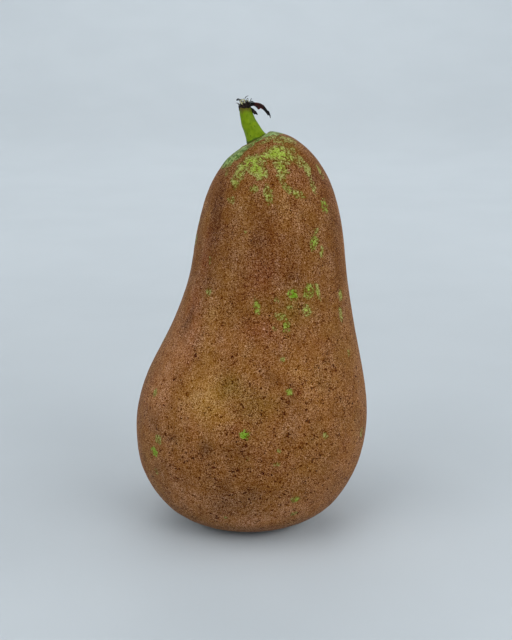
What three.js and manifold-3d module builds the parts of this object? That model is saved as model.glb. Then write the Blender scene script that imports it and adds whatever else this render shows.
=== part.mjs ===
// A russeted pear standing upright on its base, with its stalk, the dried
// scraps at the stalk's end and the dried calyx in its basin.
// Units: mm. +Z up. Origin: centre of the whole at the level it rests on.
// -Y is the side the pear is usually seen from, +X is to its right.

import * as THREE from 'three';
import { mergeVertices } from 'three/addons/utils/BufferGeometryUtils.js';
import Module from 'manifold-3d';

const wasm = await Module();
wasm.setup();

// ---------------------------------------------------------------- dimensions
const FRUIT_H = 118.46;          // height of the stalk's seat above the floor
const FRUIT_SEGMENTS = 48;       // facets round the fruit
const ROWS_PER_SPAN = 2;         // rings between two stations of the profile
const REST_INNER_R = 6.3;        // flat ring that the fruit stands on
const REST_OUTER_R = 10.45;
const BASE_CENTRE = [-0.72, 0.10];

// the basin that holds the calyx: radius, height
const BASIN = [
  [0.0, 4.0], [2.2, 3.85], [3.7, 3.1], [4.9, 1.8], [5.6, 0.7], [REST_INNER_R, 0.0],
];

// stations from the flat ring to the stalk's seat:
// radius, height, centre x, centre y
const PROFILE = [
  [REST_OUTER_R, 0.00, -0.72, 0.10],
  [15.11, 0.53, -0.72, 0.10],
  [19.58, 1.92, -0.73, 0.10],
  [23.72, 4.12, -0.78, 0.11],
  [27.33, 7.09, -0.90, 0.13],
  [30.13, 10.84, -1.05, 0.15],
  [32.36, 14.97, -1.09, 0.17],
  [34.07, 19.33, -0.96, 0.19],
  [35.11, 23.90, -0.71, 0.21],
  [35.66, 28.56, -0.44, 0.23],
  [35.78, 33.25, -0.20, 0.26],
  [35.37, 37.92, 0.07, 0.28],
  [34.54, 42.54, 0.44, 0.30],
  [33.38, 47.08, 0.97, 0.34],
  [31.98, 51.56, 1.63, 0.40],
  [30.44, 55.99, 2.34, 0.48],
  [28.88, 60.42, 3.04, 0.58],
  [27.38, 64.86, 3.67, 0.67],
  [26.00, 69.34, 4.21, 0.77],
  [24.81, 73.88, 4.66, 0.86],
  [23.87, 78.48, 4.98, 0.96],
  [23.16, 83.11, 5.18, 1.06],
  [22.56, 87.77, 5.26, 1.16],
  [21.83, 92.40, 5.21, 1.27],
  [20.81, 96.98, 5.02, 1.47],
  [19.49, 101.48, 4.65, 1.75],
  [17.75, 105.83, 4.06, 2.12],
  [15.44, 109.91, 3.35, 2.48],
  [12.50, 113.56, 2.61, 2.80],
  [9.00, 116.67, 1.95, 3.05],
  [4.69, 118.39, 1.58, 3.20],
  [0.00, FRUIT_H, 1.57, 3.26],
];

// unevenness of the fruit: how far the sections tip over towards the stalk,
// the lip beside the stalk, and three low swellings round the girth
const TIP_X = 0.291;
const TIP_Y = 0.142;
const LIP_H = 0.859;
const LIP_R = 6.65;
const LOBES = [[0.010, 2, 0.9], [0.007, 3, -0.5], [0.004, 5, 1.3]];
const LOBE_RAMP = 14.25;

// the stalk: centre line relative to its seat, and radius against length
const SEAT = [1.57, 3.26, FRUIT_H];
const STALK_LINE = [
  [-0.15, 0.05, 0.34], [-1.36, 0.45, 3.19], [-2.24, 0.70, 4.92], [-2.83, 0.85, 6.67],
  [-3.27, 0.95, 8.42], [-3.56, 1.02, 10.46], [-3.70, 1.05, 11.92],
];
const STALK_SHAPE = [      // share of the length, radius
  [0.00, 0.00], [0.00, 2.55], [0.02, 2.88], [0.08, 2.74], [0.17, 2.62], [0.28, 2.52], [0.42, 2.36],
  [0.56, 2.14], [0.66, 1.98], [0.74, 1.82], [0.84, 1.70], [0.93, 1.73], [0.985, 1.58], [1.00, 1.15], [1.00, 0.00],
];
const STALK_SIDES = 16;

// dried scraps beside the stalk's end, relative to the seat
const LONG_LINE = [
  [-1.42, 0.75, 10.50], [-0.18, 0.55, 10.95], [1.30, 0.15, 11.00], [2.20, -0.20, 10.10],
  [3.20, -0.60, 8.70], [3.90, -0.90, 6.85],
];
const LONG_HALF = [0.34, 0.62, 0.66, 0.60, 0.50, 0.12];   // half width along it
const SHORT_LINE = [[-1.06, 0.45, 9.05], [-0.50, 0.15, 8.62], [0.28, -0.25, 7.50]];
const SHORT_HALF = [0.30, 0.46, 0.12];
const SCRAP_THICKNESS = 0.45;

// the flake and fibres on the stalk's end, relative to the seat
const TUFT_AT = [-3.90, 1.05, 12.78];
const TUFT_R = 1.10;
const TUFT_HALF_H = 0.42;
const FIBRES = [[-5.85, 0.55, 12.60], [-5.55, 1.50, 13.35], [-1.75, 0.45, 13.05], [-2.70, 1.60, 13.85], [-3.90, 0.00, 13.60]];
const FIBRE_R = 0.20;

// the calyx: a button with five sepals, inside the basin
const CALYX_TOP = 3.45;
const CALYX_R = 1.7;
const CALYX_H = 0.7;
const SEPALS = 5;
const SEPAL_LINE = [[0.9, 0, 3.05], [2.3, 0, 2.55], [3.25, 0, 1.75], [3.45, 0, 1.05]];
const SEPAL_HALF = [0.75, 0.80, 0.55, 0.12];
const SEPAL_THICKNESS = 0.42;

// ------------------------------------------------------------------- helpers
// the value at x of a table whose rows are even steps apart, by Catmull-Rom
function along(table, x) {
  const last = table.length - 1;
  const i = Math.min(Math.max(Math.floor(x), 0), last - 1);
  const t = x - i;
  const p0 = table[Math.max(i - 1, 0)], p1 = table[i], p2 = table[i + 1], p3 = table[Math.min(i + 2, last)];
  return p1.map((_, c) => {
    const v0 = (p2[c] - p0[c]) / 2, v1 = (p3[c] - p1[c]) / 2;
    return (2 * p1[c] - 2 * p2[c] + v0 + v1) * t ** 3 + (-3 * p1[c] + 3 * p2[c] - 2 * v0 - v1) * t ** 2 + v0 * t + p1[c];
  });
}

const smooth = (x) => { const t = Math.min(Math.max(x, 0), 1); return t * t * (3 - 2 * t); };

// one closed body: shared vertices merged, empty triangles dropped, faces out
function closed(geometry) {
  const g = geometry.clone();
  g.deleteAttribute('normal');
  g.deleteAttribute('uv');
  const merged = mergeVertices(g, 1e-4);
  const p = merged.attributes.position;
  const index = [];
  for (let i = 0; i < merged.index.count; i += 3) {
    const [a, b, c] = [0, 1, 2].map((k) => merged.index.getX(i + k));
    if (a !== b && b !== c && c !== a) index.push(a, b, c);
  }
  let volume = 0;
  const va = new THREE.Vector3(), vb = new THREE.Vector3(), vc = new THREE.Vector3();
  for (let i = 0; i < index.length; i += 3) {
    va.fromBufferAttribute(p, index[i]);
    vb.fromBufferAttribute(p, index[i + 1]);
    vc.fromBufferAttribute(p, index[i + 2]);
    volume += va.dot(vb.cross(vc));
  }
  if (volume < 0) for (let i = 0; i < index.length; i += 3) [index[i + 1], index[i + 2]] = [index[i + 2], index[i + 1]];
  merged.setIndex(index);
  merged.computeVertexNormals();
  return merged;
}

function toManifold(geometry) {
  return new wasm.Manifold(new wasm.Mesh({
    numProp: 3,
    vertProperties: new Float32Array(geometry.attributes.position.array),
    triVerts: new Uint32Array(geometry.index.array),
  }));
}

function fromManifold(body) {
  const m = body.getMesh();
  const g = new THREE.BufferGeometry();
  g.setAttribute('position', new THREE.BufferAttribute(new Float32Array(m.vertProperties), 3));
  g.setIndex(Array.from(m.triVerts));
  g.computeVertexNormals();
  return g;
}

// a turned form about +Z, laid along a line: each ring stands square to it.
// flat squeezes the section along the side direction.
function bentTurning(line, shape, sides, side = [0, 1, 0], flat = 1) {
  const curve = new THREE.CatmullRomCurve3(line.map((p) => new THREE.Vector3(...p)));
  const g = closed(new THREE.LatheGeometry(shape.map(([s, r]) => new THREE.Vector2(r, s)), sides));
  const p = g.attributes.position;
  for (let i = 0; i < p.count; i++) {
    const s = Math.min(Math.max(p.getY(i), 0), 1);
    const at = curve.getPointAt(s);
    const dir = curve.getTangentAt(s);
    const v = new THREE.Vector3(...side);
    v.addScaledVector(dir, -v.dot(dir)).normalize();
    const u = new THREE.Vector3().crossVectors(v, dir);
    at.addScaledVector(u, p.getX(i)).addScaledVector(v, p.getZ(i) * flat);
    p.setXYZ(i, at.x, at.y, at.z);
  }
  return closed(g);
}

// a flat scrap that tapers at both ends
function scrap(line, half, thickness, side, sides = 8) {
  const n = half.length - 1;
  const shape = [[0, 0]];
  for (let i = 0; i <= 2 * n; i++) shape.push([i / (2 * n), along(half.map((h) => [h]), i / 2)[0]]);
  shape.push([1, 0]);
  return bentTurning(line, shape, sides, side, thickness / (2 * Math.max(...half)));
}

// ------------------------------------------------------------------ the fruit
function fruitGeometry() {
  const shape = [];
  for (let i = 0; i < BASIN.length - 1; i++) for (let k = 0; k < ROWS_PER_SPAN; k++) {
    const [r, z] = along(BASIN, i + k / ROWS_PER_SPAN);
    shape.push(new THREE.Vector2(Math.max(r, 0), Math.max(z, 0)));
  }
  shape.push(new THREE.Vector2(REST_INNER_R, 0));
  const stations = [];
  for (let i = 0; i < PROFILE.length - 1; i++) for (let k = 0; k < ROWS_PER_SPAN; k++) stations.push(i + k / ROWS_PER_SPAN);
  stations.push(PROFILE.length - 1);
  const rows = stations.map((x) => along(PROFILE, x));
  for (const [r, z] of rows) shape.push(new THREE.Vector2(Math.max(r, 0), Math.max(z, 0)));

  const g = closed(new THREE.LatheGeometry(shape, FRUIT_SEGMENTS));
  g.rotateX(Math.PI / 2);
  const centre = (z) => {
    if (z <= 0) return BASE_CENTRE;
    let j = 1;
    while (j < rows.length - 1 && rows[j][1] < z) j++;
    const a = rows[j - 1], b = rows[j];
    const t = Math.min(Math.max((z - a[1]) / (b[1] - a[1]), 0), 1);
    return [a[2] + (b[2] - a[2]) * t, a[3] + (b[3] - a[3]) * t];
  };
  const p = g.attributes.position;
  for (let i = 0; i < p.count; i++) {
    const x = p.getX(i), y = p.getY(i), z = p.getZ(i);
    const r = Math.hypot(x, y), c = r > 1e-6 ? x / r : 0, s = r > 1e-6 ? y / r : 0, a = Math.atan2(y, x);
    let lobe = 0;
    for (const [size, turns, from] of LOBES) lobe += size * Math.cos(turns * a + from);
    const inBasin = r < REST_INNER_R + 1e-3 && z < 10;
    const swell = inBasin ? 1 : 1 + smooth(z / LOBE_RAMP) * lobe;
    const tip = smooth((z / FRUIT_H - 0.7) / 0.3);
    const lip = z > 0.6 * FRUIT_H ? LIP_H * (r / LIP_R) * Math.exp(0.5 - 0.5 * (r / LIP_R) ** 2) : 0;
    const [cx, cy] = inBasin ? BASE_CENTRE : centre(z);
    p.setXYZ(i, cx + r * swell * c, cy + r * swell * s, z + (TIP_X * tip * r + lip) * c - TIP_Y * tip * r * s);
  }
  return closed(g);
}

// ------------------------------------------------------------------ the tuft
function tuftGeometry() {
  const core = new THREE.SphereGeometry(TUFT_R, 10, 6);
  core.rotateX(Math.PI / 2);
  core.scale(1, 0.85, TUFT_HALF_H / TUFT_R);
  core.translate(...TUFT_AT);
  let body = toManifold(closed(core));
  const from = new THREE.Vector3(...TUFT_AT);
  for (const end of FIBRES) {
    const to = new THREE.Vector3(...end);
    const dir = to.clone().sub(from);
    const cone = new THREE.CylinderGeometry(FIBRE_R * 0.35, FIBRE_R, dir.length(), 6);
    cone.applyQuaternion(new THREE.Quaternion().setFromUnitVectors(new THREE.Vector3(0, 1, 0), dir.clone().normalize()));
    cone.translate(...from.clone().add(to).multiplyScalar(0.5).toArray());
    body = body.add(toManifold(closed(cone)));
  }
  return fromManifold(body);
}

// ------------------------------------------------------------------ the calyx
function calyxGeometry() {
  const button = new THREE.LatheGeometry([
    new THREE.Vector2(0, CALYX_TOP), new THREE.Vector2(CALYX_R, CALYX_TOP - 0.15),
    new THREE.Vector2(CALYX_R * 0.9, CALYX_TOP - CALYX_H), new THREE.Vector2(0, CALYX_TOP - CALYX_H * 0.7),
  ], 20);
  button.rotateX(Math.PI / 2);
  let body = toManifold(closed(button));
  for (let i = 0; i < SEPALS; i++) {
    const leaf = scrap(SEPAL_LINE, SEPAL_HALF, SEPAL_THICKNESS, [1, 0, 0.6]);
    leaf.rotateZ((i + 0.15 * Math.sin(3 * i)) * 2 * Math.PI / SEPALS + 0.4);
    body = body.add(toManifold(closed(leaf)));
  }
  return fromManifold(body);
}

// ------------------------------------------------------------------- assembly
const part = new THREE.Group();

function add(name, geometry, color, roughness, at = [0, 0, 0]) {
  const mesh = new THREE.Mesh(geometry, new THREE.MeshStandardMaterial({ color, roughness, metalness: 0 }));
  mesh.name = name;
  mesh.position.set(...at);
  part.add(mesh);
  return mesh;
}

add('fruit', fruitGeometry(), 0x8a5c38, 0.72);
add('stem', bentTurning(STALK_LINE, STALK_SHAPE, STALK_SIDES), 0x6f8f1f, 0.55, SEAT);
add('long_bract', scrap(LONG_LINE, LONG_HALF, SCRAP_THICKNESS, [0, 1, 0.3]), 0x2a1614, 0.8, SEAT);
add('short_bract', scrap(SHORT_LINE, SHORT_HALF, SCRAP_THICKNESS, [0, 1, 0.3]), 0x241311, 0.8, SEAT);
add('dry_tuft', tuftGeometry(), 0x8d8576, 0.9, SEAT);
add('calyx', calyxGeometry(), 0x2c1d14, 0.85, [...BASE_CENTRE, 0]);

export default part;
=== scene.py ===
# The looks of a russeted pear standing on its base: fruit, stalk, the dried
# scraps at the stalk's end and the dried calyx in the basin underneath.
# Lengths are worked out in millimetres and become metres when a mesh is made.
import math

import bpy
import numpy as np
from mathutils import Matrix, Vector


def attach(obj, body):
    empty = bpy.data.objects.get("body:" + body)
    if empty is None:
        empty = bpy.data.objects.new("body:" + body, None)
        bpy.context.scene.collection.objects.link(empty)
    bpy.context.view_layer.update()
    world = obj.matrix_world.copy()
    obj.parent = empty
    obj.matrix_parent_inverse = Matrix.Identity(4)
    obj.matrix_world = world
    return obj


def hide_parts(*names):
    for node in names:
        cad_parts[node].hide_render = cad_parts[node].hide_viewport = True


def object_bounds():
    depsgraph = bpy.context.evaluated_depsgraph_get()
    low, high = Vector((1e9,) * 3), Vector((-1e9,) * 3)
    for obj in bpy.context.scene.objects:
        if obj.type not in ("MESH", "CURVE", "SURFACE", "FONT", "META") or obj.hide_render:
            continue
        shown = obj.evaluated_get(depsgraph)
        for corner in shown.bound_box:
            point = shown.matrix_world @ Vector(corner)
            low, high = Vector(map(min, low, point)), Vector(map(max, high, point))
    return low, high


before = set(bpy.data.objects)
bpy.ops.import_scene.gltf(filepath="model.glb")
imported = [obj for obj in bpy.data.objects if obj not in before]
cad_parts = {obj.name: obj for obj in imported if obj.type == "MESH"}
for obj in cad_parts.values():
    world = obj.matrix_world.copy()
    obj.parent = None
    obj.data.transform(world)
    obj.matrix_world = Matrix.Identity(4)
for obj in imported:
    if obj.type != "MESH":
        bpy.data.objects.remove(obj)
cad_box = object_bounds()

MM = 0.001
scene = bpy.context.scene


# ------------------------------------------------------------------ the camera
cam_data = bpy.data.cameras.new("camera")
cam = bpy.data.objects.new("camera", cam_data)
scene.collection.objects.link(cam)
cam_data.sensor_width = 36.0
cam_data.lens = 73.125
cam_at, cam_to = Vector((0.001409, -0.385308, 0.167024)), Vector((0.001409, 0.000096, 0.063755))
cam.location = cam_at
cam.rotation_euler = (cam_to - cam_at).to_track_quat("-Z", "Y").to_euler()
cam_data.clip_start, cam_data.clip_end = 0.01, 50.0
scene.camera = cam
scene.view_settings.view_transform = "Standard"
scene.view_settings.look = "None"


# --------------------------------------------------------------------- numbers
def smooth(x):
    t = np.clip(x, 0.0, 1.0)
    return t * t * (3.0 - 2.0 * t)


def along(table, x):
    """The value at x of a table whose rows are even steps apart (Catmull-Rom)."""
    table = np.asarray(table, float)
    x = np.asarray(x, float)
    last = len(table) - 1
    i = np.clip(np.floor(x).astype(int), 0, last - 1)
    t = (x - i)[..., None]
    p0, p1 = table[np.maximum(i - 1, 0)], table[i]
    p2, p3 = table[i + 1], table[np.minimum(i + 2, last)]
    v0, v1 = (p2 - p0) / 2, (p3 - p1) / 2
    return (2 * p1 - 2 * p2 + v0 + v1) * t**3 + (-3 * p1 + 3 * p2 - 2 * v0 - v1) * t**2 + v0 * t + p1


def lattice(ix, iy, iz, seed):
    h = (ix.astype(np.int64) * 73856093) ^ (iy.astype(np.int64) * 19349663) ^ (iz.astype(np.int64) * 83492791) ^ (seed * 2654435761)
    h &= 0xFFFFFFFF
    h ^= h >> 15
    h = (h * 2246822519) & 0xFFFFFFFF
    h ^= h >> 13
    h = (h * 3266489917) & 0xFFFFFFFF
    h ^= h >> 16
    return h.astype(float) / 2147483647.5 - 1.0


def vnoise(p, size, seed=0, octaves=1):
    """Smooth random values in about -1..1 at the points p, with lumps of the given size."""
    total, amp, norm = 0.0, 1.0, 0.0
    for o in range(octaves):
        q = np.asarray(p, float) / (size / 2**o) + 17.31 * (o + 1)
        f = np.floor(q).astype(int)
        t = q - f
        t = t * t * t * (t * (t * 6 - 15) + 10)
        acc = 0.0
        for dx in (0, 1):
            for dy in (0, 1):
                for dz in (0, 1):
                    w = (
                        (t[..., 0] if dx else 1 - t[..., 0])
                        * (t[..., 1] if dy else 1 - t[..., 1])
                        * (t[..., 2] if dz else 1 - t[..., 2])
                    )
                    acc = acc + w * lattice(f[..., 0] + dx, f[..., 1] + dy, f[..., 2] + dz, seed + 101 * o)
        total = total + amp * acc
        norm += amp
        amp *= 0.5
    return total / norm


def srgb(*c):
    """A colour given as 0..255 sRGB, as the linear RGBA that a shader takes."""
    v = [x / 255.0 for x in c]
    return tuple(x / 12.92 if x <= 0.04045 else ((x + 0.055) / 1.055) ** 2.4 for x in v) + (1.0,)


# ---------------------------------------------------------------------- meshes
def make(name, verts_mm, faces, uvs=None, attrs=None, material=None):
    """A smooth-shaded mesh object at the origin."""
    me = bpy.data.meshes.new(name)
    me.from_pydata((np.asarray(verts_mm, float) * MM).tolist(), [], faces)
    me.validate()
    for poly in me.polygons:
        poly.use_smooth = True
    if uvs is not None:
        layer = me.uv_layers.new(name="OFBake")
        layer.data.foreach_set("uv", np.asarray(uvs, np.float32).ravel())
    for key, val in (attrs or {}).items():
        a = me.attributes.new(key, "FLOAT", "POINT")
        a.data.foreach_set("value", np.asarray(val, np.float32).ravel())
    me.update()
    ob = bpy.data.objects.new(name, me)
    scene.collection.objects.link(ob)
    if material:
        me.materials.append(material)
    return ob


def grid_faces(rows, cols, first=0, flip=False):
    """Quads of a closed-round grid: rows rings of cols points."""
    i = np.arange(rows - 1)[:, None]
    j = np.arange(cols)[None, :]
    k = (j + 1) % cols
    f = np.stack([i * cols + j + 0 * k, i * cols + k, (i + 1) * cols + k, (i + 1) * cols + j + 0 * k], -1).reshape(-1, 4) + first
    if flip:
        f = f[:, ::-1]
    return f.tolist()


class Soup:
    """Closed pieces gathered in one mesh, with per-point values."""

    def __init__(self):
        self.v, self.f, self.a, self.n = [], [], {}, 0

    def add(self, verts, faces, **attrs):
        verts = np.asarray(verts, float).reshape(-1, 3)
        self.f += [[i + self.n for i in f] for f in faces]
        self.v.append(verts)
        for k in set(self.a) | set(attrs):
            old = self.a.get(k, [np.zeros(self.n)])
            new = np.broadcast_to(np.asarray(attrs.get(k, 0.0), float), (len(verts),))
            self.a[k] = old + [new]
        self.n += len(verts)

    def verts(self):
        return np.concatenate(self.v)

    def attrs(self):
        return {k: np.concatenate(v) for k, v in self.a.items()}


def spline(points, n, closed=False):
    """n points at even distances along a smooth line through the given ones."""
    p = np.asarray(points, float)
    dense = along(p, np.linspace(0, len(p) - 1, 40 * (len(p) - 1) + 1))
    s = np.concatenate([[0], np.cumsum(np.linalg.norm(np.diff(dense, axis=0), axis=1))])
    u = np.linspace(0, s[-1], n)
    return np.stack([np.interp(u, s, dense[:, k]) for k in range(3)], 1)


def frames_along(line, side):
    t = np.gradient(line, axis=0)
    t /= np.linalg.norm(t, axis=1, keepdims=True)
    v = np.tile(np.asarray(side, float), (len(line), 1))
    v -= (v * t).sum(1, keepdims=True) * t
    v /= np.linalg.norm(v, axis=1, keepdims=True)
    return t, np.cross(v, t), v


def swept(line, ring_fn, sides, side=(0, 1, 0)):
    """A closed form along a line. ring_fn(u, angle) gives offsets along two cross directions."""
    line = np.asarray(line, float)
    t, a, b = frames_along(line, side)
    u = np.linspace(0, 1, len(line))
    ang = np.linspace(0, 2 * math.pi, sides, endpoint=False)
    U, A = np.meshgrid(u, ang, indexing="ij")
    oa, ob = ring_fn(U, A)
    P = line[:, None, :] + oa[..., None] * a[:, None, :] + ob[..., None] * b[:, None, :]
    rows = len(line)
    verts = np.concatenate([P.reshape(-1, 3), P[:1].mean(1), P[-1:].mean(1)])
    faces = grid_faces(rows, sides, flip=True)
    lo, hi = rows * sides, rows * sides + 1
    for j in range(sides):
        k = (j + 1) % sides
        faces.append([lo, j, k])
        faces.append([hi, (rows - 1) * sides + k, (rows - 1) * sides + j])
    return verts, faces, U, A


# ------------------------------------------------------------ the fruit's form
FRUIT_H = 118.46
REST_INNER_R, REST_OUTER_R = 6.3, 10.45
BASE_CENTRE = (-0.72, 0.10)
BASIN = [[0.0, 4.0], [2.2, 3.85], [3.7, 3.1], [4.9, 1.8], [5.6, 0.7], [REST_INNER_R, 0.0]]
PROFILE = [
    [REST_OUTER_R, 0.00, -0.72, 0.10], [15.11, 0.53, -0.72, 0.10], [19.58, 1.92, -0.73, 0.10], [23.72, 4.12, -0.78, 0.11],
    [27.33, 7.09, -0.90, 0.13], [30.13, 10.84, -1.05, 0.15], [32.36, 14.97, -1.09, 0.17], [34.07, 19.33, -0.96, 0.19],
    [35.11, 23.90, -0.71, 0.21], [35.66, 28.56, -0.44, 0.23], [35.78, 33.25, -0.20, 0.26], [35.37, 37.92, 0.07, 0.28],
    [34.54, 42.54, 0.44, 0.30], [33.38, 47.08, 0.97, 0.34], [31.98, 51.56, 1.63, 0.40], [30.44, 55.99, 2.34, 0.48],
    [28.88, 60.42, 3.04, 0.58], [27.38, 64.86, 3.67, 0.67], [26.00, 69.34, 4.21, 0.77], [24.81, 73.88, 4.66, 0.86],
    [23.87, 78.48, 4.98, 0.96], [23.16, 83.11, 5.18, 1.06], [22.56, 87.77, 5.26, 1.16], [21.83, 92.40, 5.21, 1.27],
    [20.81, 96.98, 5.02, 1.47], [19.49, 101.48, 4.65, 1.75], [17.75, 105.83, 4.06, 2.12], [15.44, 109.91, 3.35, 2.48],
    [12.50, 113.56, 2.61, 2.80], [9.00, 116.67, 1.95, 3.05], [4.69, 118.39, 1.58, 3.20], [0.00, FRUIT_H, 1.57, 3.26],
]
TIP_X, TIP_Y, LIP_H, LIP_R = 0.291, 0.142, 0.859, 6.65
LOBES = [(0.010, 2, 0.9), (0.007, 3, -0.5), (0.004, 5, 1.3)]
LOBE_RAMP = 14.25
SEAT = np.array([1.57, 3.26, FRUIT_H])


def meridian(n=6000):
    a = along(BASIN, np.linspace(0, len(BASIN) - 1, n // 6 + 1))
    a = np.column_stack([np.maximum(a[:, 0], 0), np.maximum(a[:, 1], 0), np.full(len(a), BASE_CENTRE[0]), np.full(len(a), BASE_CENTRE[1])])
    ring = float(np.hypot(np.diff(a[:, 0]), np.diff(a[:, 1])).sum())
    b = along(PROFILE, np.linspace(0, len(PROFILE) - 1, n))
    b[:, :2] = np.maximum(b[:, :2], 0)
    m = np.vstack([a, b])
    s = np.concatenate([[0], np.cumsum(np.hypot(np.diff(m[:, 0]), np.diff(m[:, 1])))])
    keep = np.concatenate([[True], np.diff(s) > 1e-9])
    return s[keep], m[keep], ring


MER_S, MER, S_RING = meridian()
TOTAL = float(MER_S[-1])


def skin_at(s, a):
    """A point of the smooth fruit: s is the length along the profile from the basin's middle, a the angle round it."""
    r, z, cx, cy = (np.interp(s, MER_S, MER[:, k]) for k in range(4))
    lobe = sum(k * np.cos(n * a + f) for k, n, f in LOBES)
    swell = np.where(s < S_RING, 1, 1 + smooth(z / LOBE_RAMP) * lobe)
    tip = smooth((z / FRUIT_H - 0.7) / 0.3)
    lip = np.where(z > 0.6 * FRUIT_H, LIP_H * (r / LIP_R) * np.exp(0.5 - 0.5 * (r / LIP_R) ** 2), 0)
    c, sn = np.cos(a), np.sin(a)
    return np.stack([cx + r * swell * c, cy + r * swell * sn, z + (TIP_X * tip * r + lip) * c - TIP_Y * tip * r * sn], -1)


def skin_frame(s, a):
    """Point, outward normal, direction round, direction up, at one place."""
    e = 0.02
    p = skin_at(s, a)
    up = skin_at(s + e, a) - skin_at(s - e, a)
    rnd = skin_at(s, a + e / 20) - skin_at(s, a - e / 20)
    up, rnd = up / np.linalg.norm(up), rnd / np.linalg.norm(rnd)
    n = np.cross(rnd, up)
    return p, n / np.linalg.norm(n), rnd, up


# green patches where the russet is missing: angle, length along the profile,
# half sizes across and along (mm), turn (degrees), strength
PATCHES = [
    # the broken band round the shoulder
    (-67.1, 143.3, 3.4, 2.5, 10, 1.3), (-63.8, 141.6, 2.8, 1.9, 0, 1.2), (-58.6, 140.8, 2.4, 2.0, -20, 1.1), (-70.5, 138.2, 1.7, 2.5, 10, 1.05),
    (-85.0, 143.2, 2.8, 1.6, 0, 1.0), (-103.6, 142.7, 2.8, 2.2, 0, 1.2), (-96.7, 140.2, 2.5, 2.4, -35, 1.15), (-91.3, 138.0, 1.5, 2.1, -30, 1.0),
    (-112.6, 142.0, 2.0, 1.9, 0, 0.95), (-117.0, 139.7, 1.4, 2.2, 25, 0.9), (-120.9, 137.2, 1.3, 2.0, 25, 0.85), (-138.0, 141.5, 0.7, 1.5, 20, 0.62),
    (-46.5, 138.8, 1.8, 2.0, 0, 0.65), (-41.9, 135.7, 1.2, 2.0, -25, 0.7), (-44.0, 147.4, 2.6, 1.5, 0, 0.5), (-29.0, 146.0, 1.8, 1.6, 0, 0.45), (-22.9, 134.3, 0.8, 1.9, 0, 0.75), (-52.0, 142.5, 2.3, 1.4, 0, 0.75),
    (-33.2, 151.6, 1.6, 1.2, 0, 0.8), (-60.0, 150.2, 1.3, 1.2, 0, 0.85), (-48.0, 149.6, 1.8, 0.9, 0, 0.8), (-75.0, 149.0, 1.5, 0.8, 0, 0.6),
    # the neck
    (-74.1, 135.4, 0.9, 1.6, 10, 0.5), (-72.3, 133.0, 0.8, 1.3, 10, 0.5), (-69.4, 131.8, 1.1, 0.9, 0, 0.8), (-63.0, 130.5, 2.1, 0.9, -25, 0.9),
    (-43.5, 131.6, 0.8, 2.5, 0, 0.68), (-88.5, 131.8, 1.15, 2.5, 0, 0.85), (-100.5, 134.1, 1.3, 0.9, 0, 0.75), (-123.4, 131.8, 1.3, 1.0, -20, 0.8),
    (-36.0, 126.2, 1.3, 1.8, 0, 0.9), (-54.0, 118.1, 1.3, 2.1, -20, 0.95), (-46.8, 115.6, 0.7, 1.3, -10, 1.0), (-140.1, 113.1, 0.45, 1.1, 0, 0.7),
    (-136.5, 103.9, 0.9, 1.2, 0, 0.45), (-108.8, 122.4, 0.4, 0.5, 0, 0.5), (-50.2, 121.0, 0.9, 0.8, 0, 0.6),
    # the waist
    (-72.8, 104.8, 1.4, 1.45, 0, 1.35), (-60.4, 105.2, 1.4, 2.1, -25, 1.15), (-52.7, 104.6, 0.7, 2.2, 8, 0.95), (-28.5, 101.9, 1.2, 1.5, 0, 0.85),
    (-31.1, 96.0, 0.85, 2.0, 0, 0.8), (-96.9, 101.4, 0.9, 2.2, 12, 0.95), (-83.8, 103.4, 0.6, 0.7, 0, 0.5), (-74.8, 101.0, 0.85, 0.8, 0, 0.75),
    (-62.0, 99.6, 1.2, 1.5, 30, 1.0), (-81.0, 98.7, 1.7, 0.9, 0, 0.85), (-76.6, 95.4, 0.95, 1.6, -8, 1.05), (-84.1, 95.1, 0.7, 0.7, 0, 0.5),
    (-77.7, 86.3, 0.6, 0.8, 0, 0.65), (-27.5, 83.8, 0.8, 0.9, 0, 0.55),
    # the belly
    (-72.8, 76.6, 1.0, 0.9, 0, 0.95), (-151.7, 71.4, 0.9, 1.3, 0, 0.75), (-140.4, 59.0, 1.5, 1.2, 0, 0.8), (-143.7, 54.3, 1.6, 1.4, 0, 1.1),
    (-143.0, 48.0, 0.9, 0.8, 0, 0.7), (-93.1, 64.9, 1.25, 1.2, 0, 1.35), (-76.6, 59.9, 0.6, 0.7, 0, 0.55), (-77.4, 55.7, 1.1, 0.6, 0, 0.65),
    (-51.9, 62.0, 0.9, 0.8, 0, 0.5), (-64.8, 42.4, 1.35, 1.05, 0, 1.2), (-63.0, 36.1, 0.95, 0.75, 0, 0.75), (-21.1, 57.5, 0.9, 1.2, 0, 0.8),
    (-102.3, 35.8, 0.5, 0.5, 0, 0.45), (-91.0, 57.9, 0.5, 0.5, 0, 0.4),
]
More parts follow.
